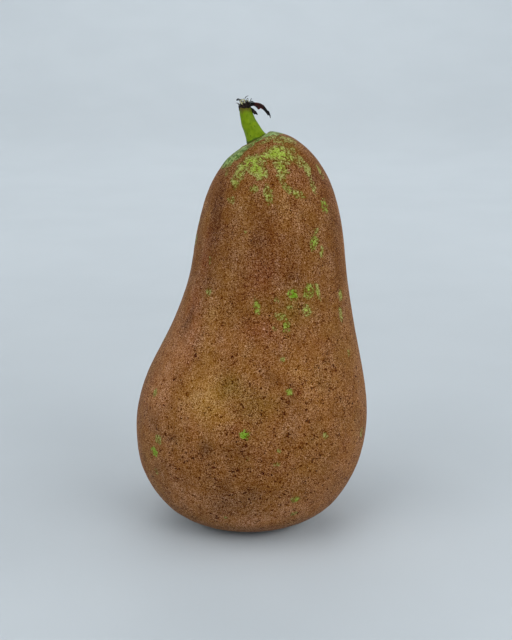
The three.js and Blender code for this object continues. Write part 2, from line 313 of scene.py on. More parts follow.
# bare rims beside the stalk, and the small vivid stars
RIMS = [
    (-137.1, 147.8, 3.4, 2.3, 0, 1.25), (-123.2, 150.0, 2.4, 2.0, 0, 1.25), (-111.6, 150.6, 2.0, 1.4, 0, 1.05), (-150.0, 146.0, 3.2, 2.4, 0, 1.1), (-148.0, 150.4, 3.0, 1.6, 0, 1.1), (-132.0, 151.6, 2.4, 1.3, 0, 1.05), (-33.2, 152.4, 2.2, 1.3, 0, 1.1),
    (-16.0, 151.2, 2.6, 1.5, 0, 1.1), (-168.0, 147.5, 3.2, 2.4, 0, 1.1), (175.0, 148.5, 3.0, 2.2, 0, 1.0), (6.0, 150.6, 3.0, 1.8, 0, 1.0), (-105.0, 152.0, 2.2, 0.9, 0, 0.9), (-80.0, 152.2, 2.4, 0.8, 0, 0.8), (-55.0, 152.6, 2.2, 0.9, 0, 0.9),
]
STARS = [
    (-72.8, 104.8, 1.55, 1.6, 0, 1.0), (-60.4, 105.2, 2.0, 2.1, 0, 0.3), (-93.1, 64.9, 1.5, 1.4, 0, 1.0), (-143.7, 54.3, 1.8, 1.6, 0, 0.8),
    (-36.0, 126.2, 1.5, 2.0, 0, 0.5), (-54.0, 118.1, 1.8, 2.9, 0, 0.35), (-64.8, 42.4, 1.3, 1.1, 0, 0.2), (-76.6, 95.8, 1.4, 2.1, 0, 0.4),
    (-72.8, 76.6, 1.1, 1.0, 0, 0.4), (-96.9, 101.4, 1.1, 2.3, 12, 0.3),
]
# broad changes of tone: angle, length, half sizes (mm), kind, strength
TONES = [
    (-140.1, 132.5, 2.3, 7.0, "dusk", 0.8), (-139.0, 111.6, 2.6, 9.0, "dusk", 0.30), (-145.5, 92.9, 2.6, 10.0, "red", 0.55),
    (-145.5, 92.9, 2.6, 10.0, "dusk", 0.15), (-114.2, 131.6, 3.4, 10.0, "gold", 0.25), (-90.5, 124.6, 5.0, 8.0, "dusk", 0.30),
    (-100.0, 119.9, 1.4, 1.6, "dusk", 0.65), (-75.6, 128.0, 2.0, 5.5, "gold", 0.60), (-54.0, 125.5, 4.0, 10.0, "gold", 0.15),
    (-27.0, 121.2, 3.0, 13.0, "dusk", 0.35), (-93.6, 111.3, 5.5, 6.5, "red", 0.65), (-73.5, 111.1, 4.0, 5.5, "dusk", 0.45),
    (-122.4, 109.5, 4.0, 5.0, "gold", 0.20), (-127.5, 96.9, 3.6, 9.0, "gold", 0.50), (-118.8, 77.5, 6.5, 8.0, "gold", 0.65),
    (-119.5, 72.0, 8.5, 5.5, "gold", 0.35), (-104.1, 78.7, 3.6, 4.6, "olive", 0.65), (-93.1, 94.9, 4.8, 3.6, "red", 0.55),
    (-73.3, 101.0, 6.5, 6.0, "olive", 0.55), (-83.8, 81.1, 3.0, 2.8, "dusk", 0.45), (-88.5, 74.1, 6.0, 4.5, "olive", 0.50),
    (-57.9, 79.8, 6.5, 10.0, "gold", 0.25), (-111.3, 60.4, 2.2, 2.0, "dusk", 0.80), (-95.1, 59.0, 3.6, 4.2, "dusk", 0.50),
    (-101.3, 45.7, 3.6, 8.0, "dusk", 0.50), (-89.2, 47.1, 2.8, 3.4, "dusk", 0.60), (-146.6, 63.8, 3.5, 4.5, "dusk", 0.45),
    (-132.7, 47.1, 8.0, 6.0, "dusk", 0.25), (-41.1, 46.0, 8.0, 7.0, "dusk", 0.20), (-108.8, 70.1, 7.0, 3.6, "gold", 0.35),
    (-72.3, 74.4, 2.6, 3.0, "dusk", 0.40), (-71.2, 65.1, 2.6, 2.4, "dusk", 0.35), (-51.7, 74.1, 3.0, 4.0, "olive", 0.30),
    (-38.6, 58.6, 3.0, 3.5, "red", 0.35), (-100.3, 89.0, 3.0, 5.0, "gold", 0.30), (-67.4, 84.3, 2.2, 5.0, "gold", 0.25),
    (-85.4, 147.2, 4.5, 1.5, "red", 0.35), (-40.0, 147.2, 4.5, 3.0, "red", 0.25), (-98.0, 66.5, 2.6, 2.0, "red", 0.45),
    (-67.6, 76.4, 0.9, 0.9, "red", 0.9), (-130.1, 60.8, 1.6, 1.4, "dusk", 0.4), (-60.0, 52.0, 6.0, 6.0, "gold", 0.15),
    # the tan spots along the left edge and low on the belly are painted light: a lighter rim where the skin turns away,
    # and light thrown up from the ground
    (-150.4, 79.3, 8.0, 11.8, "tan_and_painted_light", 0.75), (-144.8, 89.9, 4.8, 8.3, "tan_and_painted_light", 0.55), (-146.8, 68.5, 5.5, 7.9, "tan_and_painted_light", 0.55),
    (-120.6, 67.6, 5.4, 4.7, "tan_and_painted_light", 0.45), (-147.6, 100.5, 4.4, 8.0, "tan_and_painted_light", 0.15), (-130.6, 50.7, 6.1, 6.8, "tan_and_painted_light", 0.35),
    (-117.3, 42.8, 8.9, 5.1, "tan_and_painted_light", 0.60), (-94.4, 35.0, 11.0, 4.5, "tan_and_painted_light", 0.75), (-62.7, 36.5, 10.2, 5.5, "tan_and_painted_light", 0.50),
    (-46.5, 43.3, 8.4, 7.8, "tan_and_painted_light", 0.40), (-32.4, 52.7, 5.7, 9.2, "tan_and_painted_light", 0.30), (-147.3, 57.5, 5.3, 7.4, "tan_and_painted_light", 0.25),
    (-64.0, 68.1, 7.2, 3.7, "tan_and_painted_light", 0.25), (-113.1, 89.9, 4.9, 4.2, "tan_and_painted_light", 0.35), (-20.1, 126.9, 6.5, 13.1, "dusk", 0.25),
    (-26.5, 111.3, 4.0, 9.9, "dusk", 0.35), (-26.7, 135.0, 7.8, 6.0, "dusk", 0.30), (-96.2, 120.1, 3.2, 7.2, "dusk", 0.30),
    (-138.5, 116.1, 3.0, 9.0, "dusk", 0.20), (-141.2, 130.7, 3.4, 9.4, "dusk", 0.35), (-72.8, 78.7, 3.7, 2.9, "dusk", 0.20),
    (-91.0, 41.0, 6.0, 3.5, "dusk", 0.20), (-145.3, 91.0, 2.0, 5.1, "red", 0.45), (-149.1, 91.3, 1.8, 4.7, "dusk", 0.30),
    # more painted light: tan on the left edge and low on the belly
    (-161.7, 88.1, 3.3, 6.3, "tan_and_painted_light", 0.35), (-148.1, 112.0, 2.1, 4.1, "red", 0.35), (-151.5, 124.0, 2.6, 5.6, "gold", 0.30),
    (-135.8, 130.7, 1.4, 6.0, "dusk", 0.30), (-129.1, 40.1, 4.9, 4.1, "tan_and_painted_light", 0.35), (-88.7, 33.1, 8.9, 2.9, "tan_and_painted_light", 0.35),
    (-151.2, 100.3, 3.0, 4.4, "red", 0.7), (-139.5, 89.9, 2.6, 4.4, "red", 0.7), (-135.5, 83.2, 2.6, 3.2, "red", 0.45),
    (-147.6, 95.1, 1.6, 4.4, "dusk", 0.4), (-161.5, 74.4, 2.5, 4.9, "red", 0.45), (-144.3, 112.2, 2.2, 4.0, "red", 0.55),
    (-145.5, 120.6, 2.8, 3.4, "red", 0.5), (-137.3, 124.4, 1.8, 4.0, "dusk", 0.3),
    # the tan spots down the right edge are painted light, a lighter rim where the skin turns away
    (-10.0, 118.0, 4.5, 15.0, "tan_and_painted_light", 0.55), (-10.0, 66.0, 6.0, 16.0, "tan_and_painted_light", 0.35), (-16.0, 134.0, 4.5, 6.0, "tan_and_painted_light", 0.30),
    (-93.6, 148.1, 2.0, 1.6, "olive", 0.6), (-62.0, 149.2, 4.2, 1.6, "olive", 0.5), (-75.0, 139.0, 2.6, 2.4, "olive", 0.35), (-40.4, 143.8, 3.3, 2.6, "olive", 0.7), (-84.6, 135.4, 1.4, 1.5, "dusk", 0.2),
]


def fields(P, N):
    """Strength of the green patches and of each tone at the skin's points."""
    rng = np.random.default_rng(20)
    patches = list(PATCHES)
    # the far side: a like scatter, densest round the shoulder
    for k in range(26):
        patches.append((rng.uniform(8, 176), rng.normal(141.5, 3.0), rng.uniform(1.1, 3.4), rng.uniform(1.1, 2.6), rng.uniform(-30, 30), rng.uniform(0.8, 1.2)))
    for k in range(9):
        patches.append((20 + 22 * k + rng.uniform(-6, 6), 149.5 + rng.uniform(-1.5, 1.2), rng.uniform(1.8, 3.2), rng.uniform(1.5, 2.2), 0, rng.uniform(0.9, 1.2)))
    for k in range(34):
        patches.append((rng.uniform(0, 190), rng.uniform(84, 134), rng.uniform(0.6, 1.9), rng.uniform(0.7, 2.4), rng.uniform(-30, 30), rng.uniform(0.55, 1.1)))
    for k in range(16):
        patches.append((rng.uniform(0, 190), rng.uniform(30, 84), rng.uniform(0.5, 1.5), rng.uniform(0.5, 1.5), rng.uniform(-40, 40), rng.uniform(0.5, 1.15)))
    tones = list(TONES)
    for k in range(44):
        s = rng.uniform(28, 144)
        neck = s > 92
        kind = ("gold", "red", "dusk", "olive", "tan_and_painted_light")[int(rng.choice(5, p=[0.25, 0.16, 0.26, 0.13, 0.20]))]
        tones.append((rng.uniform(4, 176), s, rng.uniform(2.4, 5.0) * (0.8 if neck else 1.4), rng.uniform(3.5, 10.0), kind, rng.uniform(0.3, 0.8)))
    rims, stars = list(RIMS), list(STARS)
    for k in range(8):
        rims.append((16 + 24 * k + rng.uniform(-6, 6), 149.4 + rng.uniform(-1.5, 1.4), rng.uniform(2.0, 3.4), rng.uniform(1.4, 2.3), 0, rng.uniform(0.9, 1.2)))
    for k in range(7):
        stars.append((rng.uniform(0, 185), rng.uniform(40, 125), 1.9, 1.9, 0, 1.0))
        patches.append((stars[-1][0], stars[-1][1], rng.uniform(1.2, 1.8), rng.uniform(1.2, 1.8), 0, 1.3))

    def lay(spots, height):
        f = np.zeros(len(P))
        for ang, s, ha, hs, turn, power in spots:
            c, n, rnd, up = skin_frame(s, math.radians(ang))
            d = P - c
            near = (np.abs(d).max(1) < 11) & (N @ n > 0.2)
            x, y = d[near] @ rnd, d[near] @ up
            t = math.radians(turn)
            x, y = x * math.cos(t) + y * math.sin(t), -x * math.sin(t) + y * math.cos(t)
            f[near] = np.maximum(f[near], height((x / ha) ** 2 + (y / hs) ** 2, power))
        return f

    def patch(q, power):
        return np.where(q < 1, 0.45 + 0.32 * (power - 0.55) * (1 - q), 0.45 * np.exp(-1.2 * (q - 1)))

    out = {"green": lay(patches, patch), "rim": lay(rims, patch), "star": lay(stars, lambda q, power: power * smooth(1.6 - q))}
    for kind in ("gold", "red", "dusk", "olive", "tan_and_painted_light"):
        f = np.zeros(len(P))
        for ang, s, ha, hs, k, power in tones:
            if k != kind:
                continue
            c, n, rnd, up = skin_frame(s, math.radians(ang))
            d = P - c
            near = (np.abs(d).max(1) < 30) & (N @ n > 0.1)
            q = (d[near] @ rnd / ha) ** 2 + (d[near] @ up / hs) ** 2
            f[near] += power * np.exp(-0.9 * q)
        out[kind] = np.clip(f, 0, 1)
    return out


def make_fruit(material):
    cols = 384
    s = np.concatenate([
        np.linspace(0.25, S_RING, 13)[:-1],
        np.linspace(S_RING, S_RING + 4.15, 8)[:-1],
        np.linspace(S_RING + 4.15, TOTAL - 9.0, 206)[:-1],
        np.linspace(TOTAL - 9.0, TOTAL - 1.2, 22),
    ])
    ang = np.linspace(-math.pi, math.pi, cols, endpoint=False)
    S, A = np.meshgrid(s, ang, indexing="ij")
    P = skin_at(S, A)
    e = 0.01
    up = skin_at(S + e, A) - skin_at(S - e, A)
    rnd = skin_at(S, A + 0.002) - skin_at(S, A - 0.002)
    N = np.cross(rnd, up)
    N /= np.linalg.norm(N, axis=-1, keepdims=True) + 1e-12
    flatP, flatN = P.reshape(-1, 3), N.reshape(-1, 3)
    fld = fields(flatP, flatN)

    # the skin's own unevenness, worked inwards from the smooth form
    d = -0.15 + 0.085 * vnoise(flatP, 15.0, 1, 2) + 0.04 * vnoise(flatP * [1, 1, 0.55], 4.2, 2, 2) + 0.028 * vnoise(flatP, 1.7, 3)
    d = np.minimum(d, -0.02).reshape(S.shape)
    d -= 0.035 * smooth((fld["green"].reshape(S.shape) - 0.40) / 0.2)
    d -= 0.22 * np.exp(-(((P[..., 2] - 58.0) / 10.0) ** 2))
    away = np.abs(S - (S_RING + 2.1))
    d *= smooth((away - 1.0) / 5.0)
    lip = np.exp(-0.5 * ((P[..., 0] - SEAT[0] - 4.0) / 2.2) ** 2 - 0.5 * ((P[..., 1] - SEAT[1] - 0.5) / 3.0) ** 2)
    d += np.where(S > TOTAL - 14, 0.62 * lip, 0)
    # folds in the basin
    basin = smooth((S_RING - S) / 3.0) * smooth(S / 2.0)
    d -= basin * (0.10 + 0.16 * (0.5 + 0.5 * np.cos(5 * A + 1.2 * np.sin(2 * A) + 0.6)) + 0.05 * np.cos(13 * A + 1.0))
    # a groove where the stalk stands, with a low uneven collar outside it
    rs = np.hypot(P[..., 0] - SEAT[0], P[..., 1] - SEAT[1])
    top = S > TOTAL - 12
    wob = 0.25 * vnoise(P * [1, 1, 0.3], 2.4, 7)
    d = d + np.where(top, 0.20 * np.exp(-(((rs - 4.2 - wob) / 0.9) ** 2)) - 0.30 * np.exp(-(((rs - 3.0 - wob * 0.5) / 0.42) ** 2)), 0)
    Q = P + N * d[..., None]
    # the resting ring: slightly crowned, touching at its middle
    on = (S >= S_RING - 0.01) & (S <= S_RING + 4.16)
    Q[..., 2] = np.where(on, np.maximum(Q[..., 2], 0) + 0.10 * ((S - S_RING - 2.075) / 2.075) ** 2, Q[..., 2])
    near = (S > S_RING - 1.2) & (S < S_RING) | (S > S_RING + 4.15) & (S < S_RING + 7.5)
    lift = np.where(S < S_RING, 1 - smooth((S_RING - S) / 1.2), 1 - smooth((S - S_RING - 4.15) / 3.3))
    Q[..., 2] = np.where(near, Q[..., 2] + 0.10 * lift, Q[..., 2])
    Q[..., 2] = np.maximum(Q[..., 2], 0)
    lo, hi = np.array(cad_box[0]) / MM, np.array(cad_box[1]) / MM
    Q[..., 0] = np.clip(Q[..., 0], lo[0] + 0.01, hi[0] - 0.01)
    Q[..., 1] = np.clip(Q[..., 1], lo[1] + 0.01, hi[1] - 0.01)

    rows = len(s)
    verts = np.concatenate([Q.reshape(-1, 3), Q[:1].mean(1), Q[-1:].mean(1)])
    faces = grid_faces(rows, cols)
    u = np.arange(cols + 1) / cols
    v = s / TOTAL
    i = np.repeat(np.arange(rows - 1), cols)
    j = np.tile(np.arange(cols), rows - 1)
    uv = np.stack([
        np.stack([u[j], v[i]], -1), np.stack([u[j + 1], v[i]], -1),
        np.stack([u[j + 1], v[i + 1]], -1), np.stack([u[j], v[i + 1]], -1),
    ], 1).reshape(-1, 2).tolist()
    a, b = rows * cols, rows * cols + 1
    for j in range(cols):
        k = (j + 1) % cols
        faces.append([a, k, j])
        uv += [[u[j] + 0.5 / cols, 0.0], [u[j + 1], v[0]], [u[j], v[0]]]
        faces.append([b, (rows - 1) * cols + j, (rows - 1) * cols + k])
        uv += [[u[j] + 0.5 / cols, 1.0], [u[j], v[-1]], [u[j + 1], v[-1]]]
    attrs = {k: np.concatenate([x, [0.0, 0.0]]) for k, x in fld.items()}
    return make("pear_fruit", verts, faces, uv, attrs, material)


# ------------------------------------------------------------------- materials
VEIL = (0.0022, 0.0024, 0.0026)       # what the surface's own gloss adds
SKIN_GAIN = (0.99, 0.99, 0.99)


class Shader:
    """Short hands for building a node material."""

    def __init__(self, name):
        self.mat = bpy.data.materials.new(name)
        self.mat.use_nodes = True
        self.t = self.mat.node_tree
        self.t.nodes.clear()
        self.out = self.t.nodes.new("ShaderNodeOutputMaterial")
        self.bsdf = self.t.nodes.new("ShaderNodeBsdfPrincipled")
        self.t.links.new(self.bsdf.outputs[0], self.out.inputs[0])
        tc = self.t.nodes.new("ShaderNodeTexCoord")
        self.P = self.vec("SCALE", tc.outputs["Object"], scale=1000.0)

    def put(self, socket, value):
        if isinstance(value, bpy.types.NodeSocket):
            self.t.links.new(value, socket)
        elif value is not None:
            socket.default_value = value

    def m(self, op, a, b=None, c=None, clamp=False):
        n = self.t.nodes.new("ShaderNodeMath")
        n.operation, n.use_clamp = op, clamp
        for s, x in zip(n.inputs, (a, b, c)):
            self.put(s, x)
        return n.outputs[0]

    def vec(self, op, a, b=None, scale=None):
        n = self.t.nodes.new("ShaderNodeVectorMath")
        n.operation = op
        self.put(n.inputs[0], a)
        if b is not None:
            self.put(n.inputs[1], b)
        if scale is not None:
            self.put(n.inputs["Scale"], scale)
        return n.outputs["Value"] if op in ("DOT_PRODUCT", "LENGTH", "DISTANCE") else n.outputs["Vector"]

    def noise(self, size, detail=2.0, rough=0.5, at=None, distort=0.0, offset=None, colour=False):
        """Noise with lumps of about the given size in mm."""
        p = at if at is not None else self.P
        if offset is not None:
            p = self.vec("ADD", p, (offset, offset * 0.71, -offset * 1.3))
        n = self.t.nodes.new("ShaderNodeTexNoise")
        self.put(n.inputs["Vector"], p)
        n.inputs["Scale"].default_value = 1.0 / size
        n.inputs["Detail"].default_value = detail
        n.inputs["Roughness"].default_value = rough
        n.inputs["Distortion"].default_value = distort
        return n.outputs["Color"] if colour else n.outputs[0]

    def cells(self, size, at=None, offset=None, feature="F1", smoothness=None):
        p = at if at is not None else self.P
        if offset is not None:
            p = self.vec("ADD", p, (offset, -offset * 0.63, offset * 1.7))
        n = self.t.nodes.new("ShaderNodeTexVoronoi")
        n.feature = feature
        self.put(n.inputs["Vector"], p)
        n.inputs["Scale"].default_value = 1.0 / size
        return n

    def ramp(self, x, lo, hi, to_lo=0.0, to_hi=1.0, soft=True):
        n = self.t.nodes.new("ShaderNodeMapRange")
        n.interpolation_type = "SMOOTHSTEP" if soft else "LINEAR"
        for s, v in zip((0, 1, 2, 3, 4), (x, lo, hi, to_lo, to_hi)):
            self.put(n.inputs[s], v)
        return n.outputs[0]

    def mix(self, f, a, b, blend="MIX"):
        n = self.t.nodes.new("ShaderNodeMix")
        n.data_type, n.blend_type = "RGBA", blend
        n.clamp_factor = True
        self.put(n.inputs[0], f)
        self.put(n.inputs[6], a)
        self.put(n.inputs[7], b)
        return n.outputs[2]

    def attr(self, name):
        n = self.t.nodes.new("ShaderNodeAttribute")
        n.attribute_name = name
        return n.outputs["Fac"]

    def xyz(self, v):
        n = self.t.nodes.new("ShaderNodeSeparateXYZ")
        self.put(n.inputs[0], v)
        return n.outputs

    def grey(self, v):
        n = self.t.nodes.new("ShaderNodeCombineXYZ")
        for s in n.inputs:
            self.put(s, v)
        return n.outputs[0]

    def bump(self, height, distance_mm, strength=1.0, normal=None):
        n = self.t.nodes.new("ShaderNodeBump")
        n.inputs["Strength"].default_value = strength
        n.inputs["Distance"].default_value = distance_mm * MM
        self.put(n.inputs["Height"], height)
        if normal is not None:
            self.put(n.inputs["Normal"], normal)
        return n.outputs[0]

    def finish(self, colour, rough, normal=None, **constants):
        self.put(self.bsdf.inputs["Base Color"], colour)
        self.put(self.bsdf.inputs["Roughness"], rough)
        if normal is not None:
            self.put(self.bsdf.inputs["Normal"], normal)
        for k, v in constants.items():
            self.bsdf.inputs[k.replace("_", " ")].default_value = v
        return self.mat


GAIN = 1.0   # from the colour seen under this light to the surface's own


def tint(*c):
    r, g, b, a = srgb(*c)
    return (r * GAIN, g * GAIN, b * GAIN, a)


def enc(*c):
    """0..255 values kept as they are, for colours that are mixed before they are made linear."""
    return tuple(x / 255.0 for x in c) + (1.0,)


def russet_material():
    g = Shader("russet_skin")
    P = g.P
    z = g.xyz(P)[2]
    neck = g.ramp(z, 62.0, 88.0)
    # tones; the tan one is partly painted light: a lighter rim along the fruit's edges and light thrown up from the
    # ground on the lower belly, elsewhere the skin's own tone
    big = g.noise(19.0, 3.0, 0.55)
    big2 = g.noise(12.0, 2.0, 0.5, offset=31.0)
    mid = g.noise(4.2, 3.0, 0.6, offset=7.0)
    tall = g.vec("MULTIPLY", P, (1.0, 1.0, 0.22))
    streak = g.noise(2.6, 3.0, 0.55, at=tall, offset=3.0)
    streak_c = g.m("MULTIPLY", g.m("SUBTRACT", streak, 0.5), g.ramp(z, 40.0, 90.0, 0.35, 1.0))

    def tone(name, noise_socket, k, noise_centre=0.5, bias=0.0):
        n = g.m("MULTIPLY", g.m("SUBTRACT", noise_socket, noise_centre), k)
        return g.m("ADD", g.m("ADD", g.attr(name), n), bias, clamp=True)

    gold = tone("gold", mid, 0.9, bias=0.0)
    red = tone("red", big, 1.1, bias=0.05)
    dusk = g.m("ADD", tone("dusk", g.noise(5.5, 3.0, 0.6, offset=53.0), 1.1, bias=0.02), g.m("MULTIPLY", streak_c, 1.3), clamp=True)
    olive = tone("olive", big2, 1.0, 0.54)
    tan_and_painted_light = tone("tan_and_painted_light", g.noise(7.0, 2.0, 0.5, offset=67.0), 0.9, bias=0.0)
    colour = g.mix(gold, enc(124, 80, 34), enc(155, 111, 51))
    colour = g.mix(g.m("MULTIPLY", red, 0.8), colour, enc(118, 65, 29))
    colour = g.mix(g.m("MULTIPLY", olive, 0.75), colour, enc(107, 82, 20))
    colour = g.mix(g.m("MULTIPLY", tan_and_painted_light, 0.85), colour, enc(155, 105, 64))
    dark_tone = g.mix(neck, enc(88, 56, 28), enc(91, 51, 13))
    colour = g.mix(g.m("MULTIPLY", dusk, 0.8), colour, dark_tone)
    colour = g.vec("SCALE", colour, scale=g.m("MULTIPLY_ADD", neck, -0.045, 1.0))

    # mottling and grain, as a lightening or darkening by the same step in each channel
    warp = g.vec("SCALE", g.vec("SUBTRACT", g.noise(1.5, 2.0, 0.5, colour=True), (0.5, 0.5, 0.5)), scale=1.5)
    Pw = g.vec("ADD", P, warp)
    grain = g.ramp(g.noise(0.25, 0.0, 0.5, distort=1.1), 0.34, 0.66, soft=False)
    grain1 = g.noise(0.45, 1.0, 0.5, offset=19.0, distort=1.0)
    grain2 = g.noise(1.35, 2.0, 0.6, offset=11.0)

    def part(n, k):
        return g.m("MULTIPLY", g.m("SUBTRACT", n, 0.5), k)

    # the grain comes in coarser and quieter areas, and is softer at the very top
    amp = g.m("MULTIPLY", g.m("MULTIPLY_ADD", g.ramp(g.noise(5.5, 2.0, 0.5, offset=101.0), 0.34, 0.66), 0.40, 0.75), g.ramp(z, 112.0, 126.0, 1.0, 0.72))
    shade = g.m("MULTIPLY", g.m("ADD", part(grain, 0.34), part(grain1, 0.03)), amp)
    shade = g.m("ADD", shade, g.m("ADD", part(grain2, 0.03), g.m("MULTIPLY", streak_c, 0.26)))
    pore = g.cells(0.47, at=Pw, offset=51.0)
    shade = g.m("ADD", shade, g.m("MULTIPLY", part(g.m("MINIMUM", pore.outputs["Distance"], 0.75), 0.15), g.m("MULTIPLY_ADD", g.xyz(pore.outputs["Color"])[2], 0.9, 0.4)))
    # light corky flecks
    fl = g.cells(0.95, offset=5.0)
    fleck = g.m("MULTIPLY", g.ramp(fl.outputs["Distance"], 0.30, 0.14), g.ramp(g.xyz(fl.outputs["Color"])[0], 0.35, 0.75))
    shade = g.m("ADD", shade, g.m("MULTIPLY", fleck, 0.055))
    # and sparse pale specks drawn out along the fruit
    ps = g.cells(1.5, at=g.vec("MULTIPLY", P, (1.0, 1.0, 0.42)), offset=77.0)
    pale_speck = g.m("MULTIPLY", g.ramp(ps.outputs["Distance"], 0.17, 0.09), g.ramp(g.xyz(ps.outputs["Color"])[1], 0.62, 0.70))
    shade = g.m("ADD", shade, g.m("MULTIPLY", pale_speck, g.ramp(z, 30.0, 70.0, 0.06, 0.15)))
    # lenticels: larger on the belly, pinpoints on the neck
    jag = part(g.noise(0.5, 1.0, 0.5, offset=9.0), 0.5)

    def spots(size, r_lo, r_hi, off):
        c = g.cells(size, at=Pw, offset=off)
        rnd = g.xyz(c.outputs["Color"])
        dist = g.m("SUBTRACT", g.m("ADD", c.outputs["Distance"], jag), g.m("MULTIPLY_ADD", rnd[0], r_hi - r_lo, r_lo))
        s = g.m("MULTIPLY", g.ramp(dist, 0.045, -0.035), g.m("MULTIPLY_ADD", rnd[1], 0.5, 0.5))
        halo = g.m("MULTIPLY", g.ramp(dist, 0.26, 0.08), g.m("SUBTRACT", 1.0, s))
        return s, halo

    s1, h1 = spots(1.65, -0.20, 0.26, 2.0)
    s2, h2 = spots(1.05, -0.24, 0.32, 21.0)
    belly_s = g.m("MULTIPLY", s1, g.m("SUBTRACT", 1.0, g.m("MULTIPLY", neck, 0.72)))
    fine_s = g.m("MULTIPLY", s2, g.m("MULTIPLY_ADD", neck, 0.25, 0.55))
    rc = g.cells(2.2, at=Pw, offset=40.0)
    rr = g.xyz(rc.outputs["Color"])
    ring = g.ramp(g.m("ABSOLUTE", g.m("SUBTRACT", g.m("ADD", rc.outputs["Distance"], g.m("MULTIPLY", jag, 0.4)), g.m("MULTIPLY_ADD", rr[1], 0.12, 0.20))), 0.095, 0.04)
    ring = g.m("MULTIPLY", ring, g.ramp(g.noise(1.1, 1.0, 0.5, offset=15.0), 0.46, 0.55))
    ring = g.m("MULTIPLY", ring, g.m("MULTIPLY", g.ramp(rr[0], 0.1, 0.2), g.m("SUBTRACT", 1.0, g.m("MULTIPLY", neck, 0.75))))
    dark = g.m("MAXIMUM", g.m("MAXIMUM", belly_s, fine_s), g.m("MULTIPLY", ring, 0.8))
    shade = g.m("ADD", shade, g.m("MULTIPLY", g.m("MAXIMUM", h1, h2), 0.035))
    pit_depth = g.m("MULTIPLY", g.ramp(z, 62.0, 42.0, 0.23, 0.29), g.ramp(z, 4.0, 16.0, 0.8, 1.0))
    shade = g.m("SUBTRACT", shade, g.m("MULTIPLY", g.m("MULTIPLY", dark, pit_depth), amp))

    # bare green skin where the russet has broken
    gp = g.attr("green")
    vein = g.m("ABSOLUTE", g.m("SUBTRACT", g.noise(1.2, 0.0, 0.5, offset=60.0, distort=1.3), 0.5))
    vein = g.ramp(vein, 0.048, 0.016)
    gn = g.m("ADD", part(g.noise(1.35, 0.0, 0.5, offset=71.0, distort=1.6), 1.25), part(g.noise(0.6, 0.0, 0.5, offset=83.0, distort=0.8), 0.30))
    gv = g.m("ADD", gp, gn)
    g_edge = g.m("MAXIMUM", g.m("MULTIPLY", g.ramp(gv, 0.30, 0.42), g.ramp(gp, 0.06, 0.20)), g.m("MULTIPLY", g.ramp(gp, 0.25, 0.45), 0.55))
    g_in = g.m("MULTIPLY", g.ramp(gv, 0.435, 0.50), g.m("SUBTRACT", 1.0, g.m("MULTIPLY", vein, g.ramp(gp, 0.70, 1.0, 0.70, 0.30))))
    g_in = g.m("MULTIPLY", g_in, g.ramp(gp, 0.10, 0.26))
    lush = g.ramp(g.noise(1.5, 2.0, 0.5, offset=91.0), 0.35, 0.65)
    green = g.mix(lush, enc(128, 130, 54), enc(140, 156, 66))
    green = g.mix(g.ramp(gv, 0.58, 0.85), green, enc(156, 172, 84))
    green = g.mix(g.m("MULTIPLY", g.ramp(gp, 0.54, 0.62), g.ramp(gv, 0.50, 0.66)), green, enc(146, 168, 62))
    green = g.mix(g.ramp(gp, 0.55, 0.47), green, enc(138, 137, 74))
    green = g.mix(g.m("MULTIPLY", g.ramp(g.noise(0.42, 0.0, 0.5, offset=95.0, distort=0.8), 0.56, 0.70), g.ramp(gp, 0.66, 0.48, 0.15, 0.7)), green, enc(176, 174, 112))
    star = g.attr("star")
    green = g.mix(star, green, enc(112, 151, 38))
    colour = g.mix(g.m("MULTIPLY", g_edge, 0.78), colour, enc(94, 85, 27))
    colour = g.mix(g.m("MULTIPLY", g_in, 0.95), colour, green)
    shade = g.m("MULTIPLY", shade, g.m("SUBTRACT", 1.0, g.m("MAXIMUM", g.m("MULTIPLY", g_in, 0.45), g.m("MULTIPLY", g_edge, 0.30))))
    # pale, streaky bare skin on the slopes beside the stalk
    rim = g.attr("rim")
    lines = g.noise(0.75, 2.0, 0.6, at=g.vec("MULTIPLY", P, (0.5, 0.5, 1.3)), offset=27.0, distort=0.6)
    rim_in = g.ramp(g.m("ADD", rim, part(g.noise(1.3, 2.0, 0.6, offset=45.0, distort=0.8), 1.1)), 0.40, 0.54)
    pale = g.mix(g.ramp(lines, 0.42, 0.62), enc(76, 106, 40), enc(142, 168, 98))
    colour = g.mix(g.m("MULTIPLY", g.ramp(rim, 0.2, 0.45), 0.5), colour, enc(98, 92, 40))
    colour = g.mix(g.m("MULTIPLY", rim_in, 0.9), colour, pale)
    shade = g.m("MULTIPLY", shade, g.m("SUBTRACT", 1.0, g.m("MULTIPLY", rim_in, 0.5)))

    colour = g.vec("MAXIMUM", g.vec("ADD", colour, g.vec("MULTIPLY", g.grey(shade), (1.0, 1.04, 1.22))), (0.05, 0.028, 0.012))
    gm = g.t.nodes.new("ShaderNodeGamma")
    g.put(gm.inputs[0], colour)
    gm.inputs[1].default_value = 2.2
    colour = g.vec("MAXIMUM", g.vec("MULTIPLY", g.vec("SUBTRACT", gm.outputs[0], VEIL), SKIN_GAIN), (0.001, 0.001, 0.001))
    # relief too fine for the mesh
    h = g.m("ADD", g.m("MULTIPLY", grain1, 0.5), g.m("MULTIPLY", grain2, 0.6))
    h = g.m("SUBTRACT", h, g.m("MULTIPLY", dark, 0.35))
    h = g.m("ADD", h, g.m("MULTIPLY", fleck, 0.18))
    h = g.m("MULTIPLY", h, g.m("SUBTRACT", 1.0, g.m("MULTIPLY", g_in, 0.7)))
    nrm = g.bump(h, 0.085, 0.9)
    rough = g.m("ADD", g.m("MULTIPLY_ADD", g.m("SUBTRACT", grain2, 0.5), 0.35, 0.70), g.m("MULTIPLY", g.m("MAXIMUM", g_in, rim_in), -0.16), clamp=True)
    return g.finish(colour, rough, nrm, IOR=1.45, Specular_IOR_Level=0.05, Sheen_Weight=0.05, Sheen_Roughness=0.4)


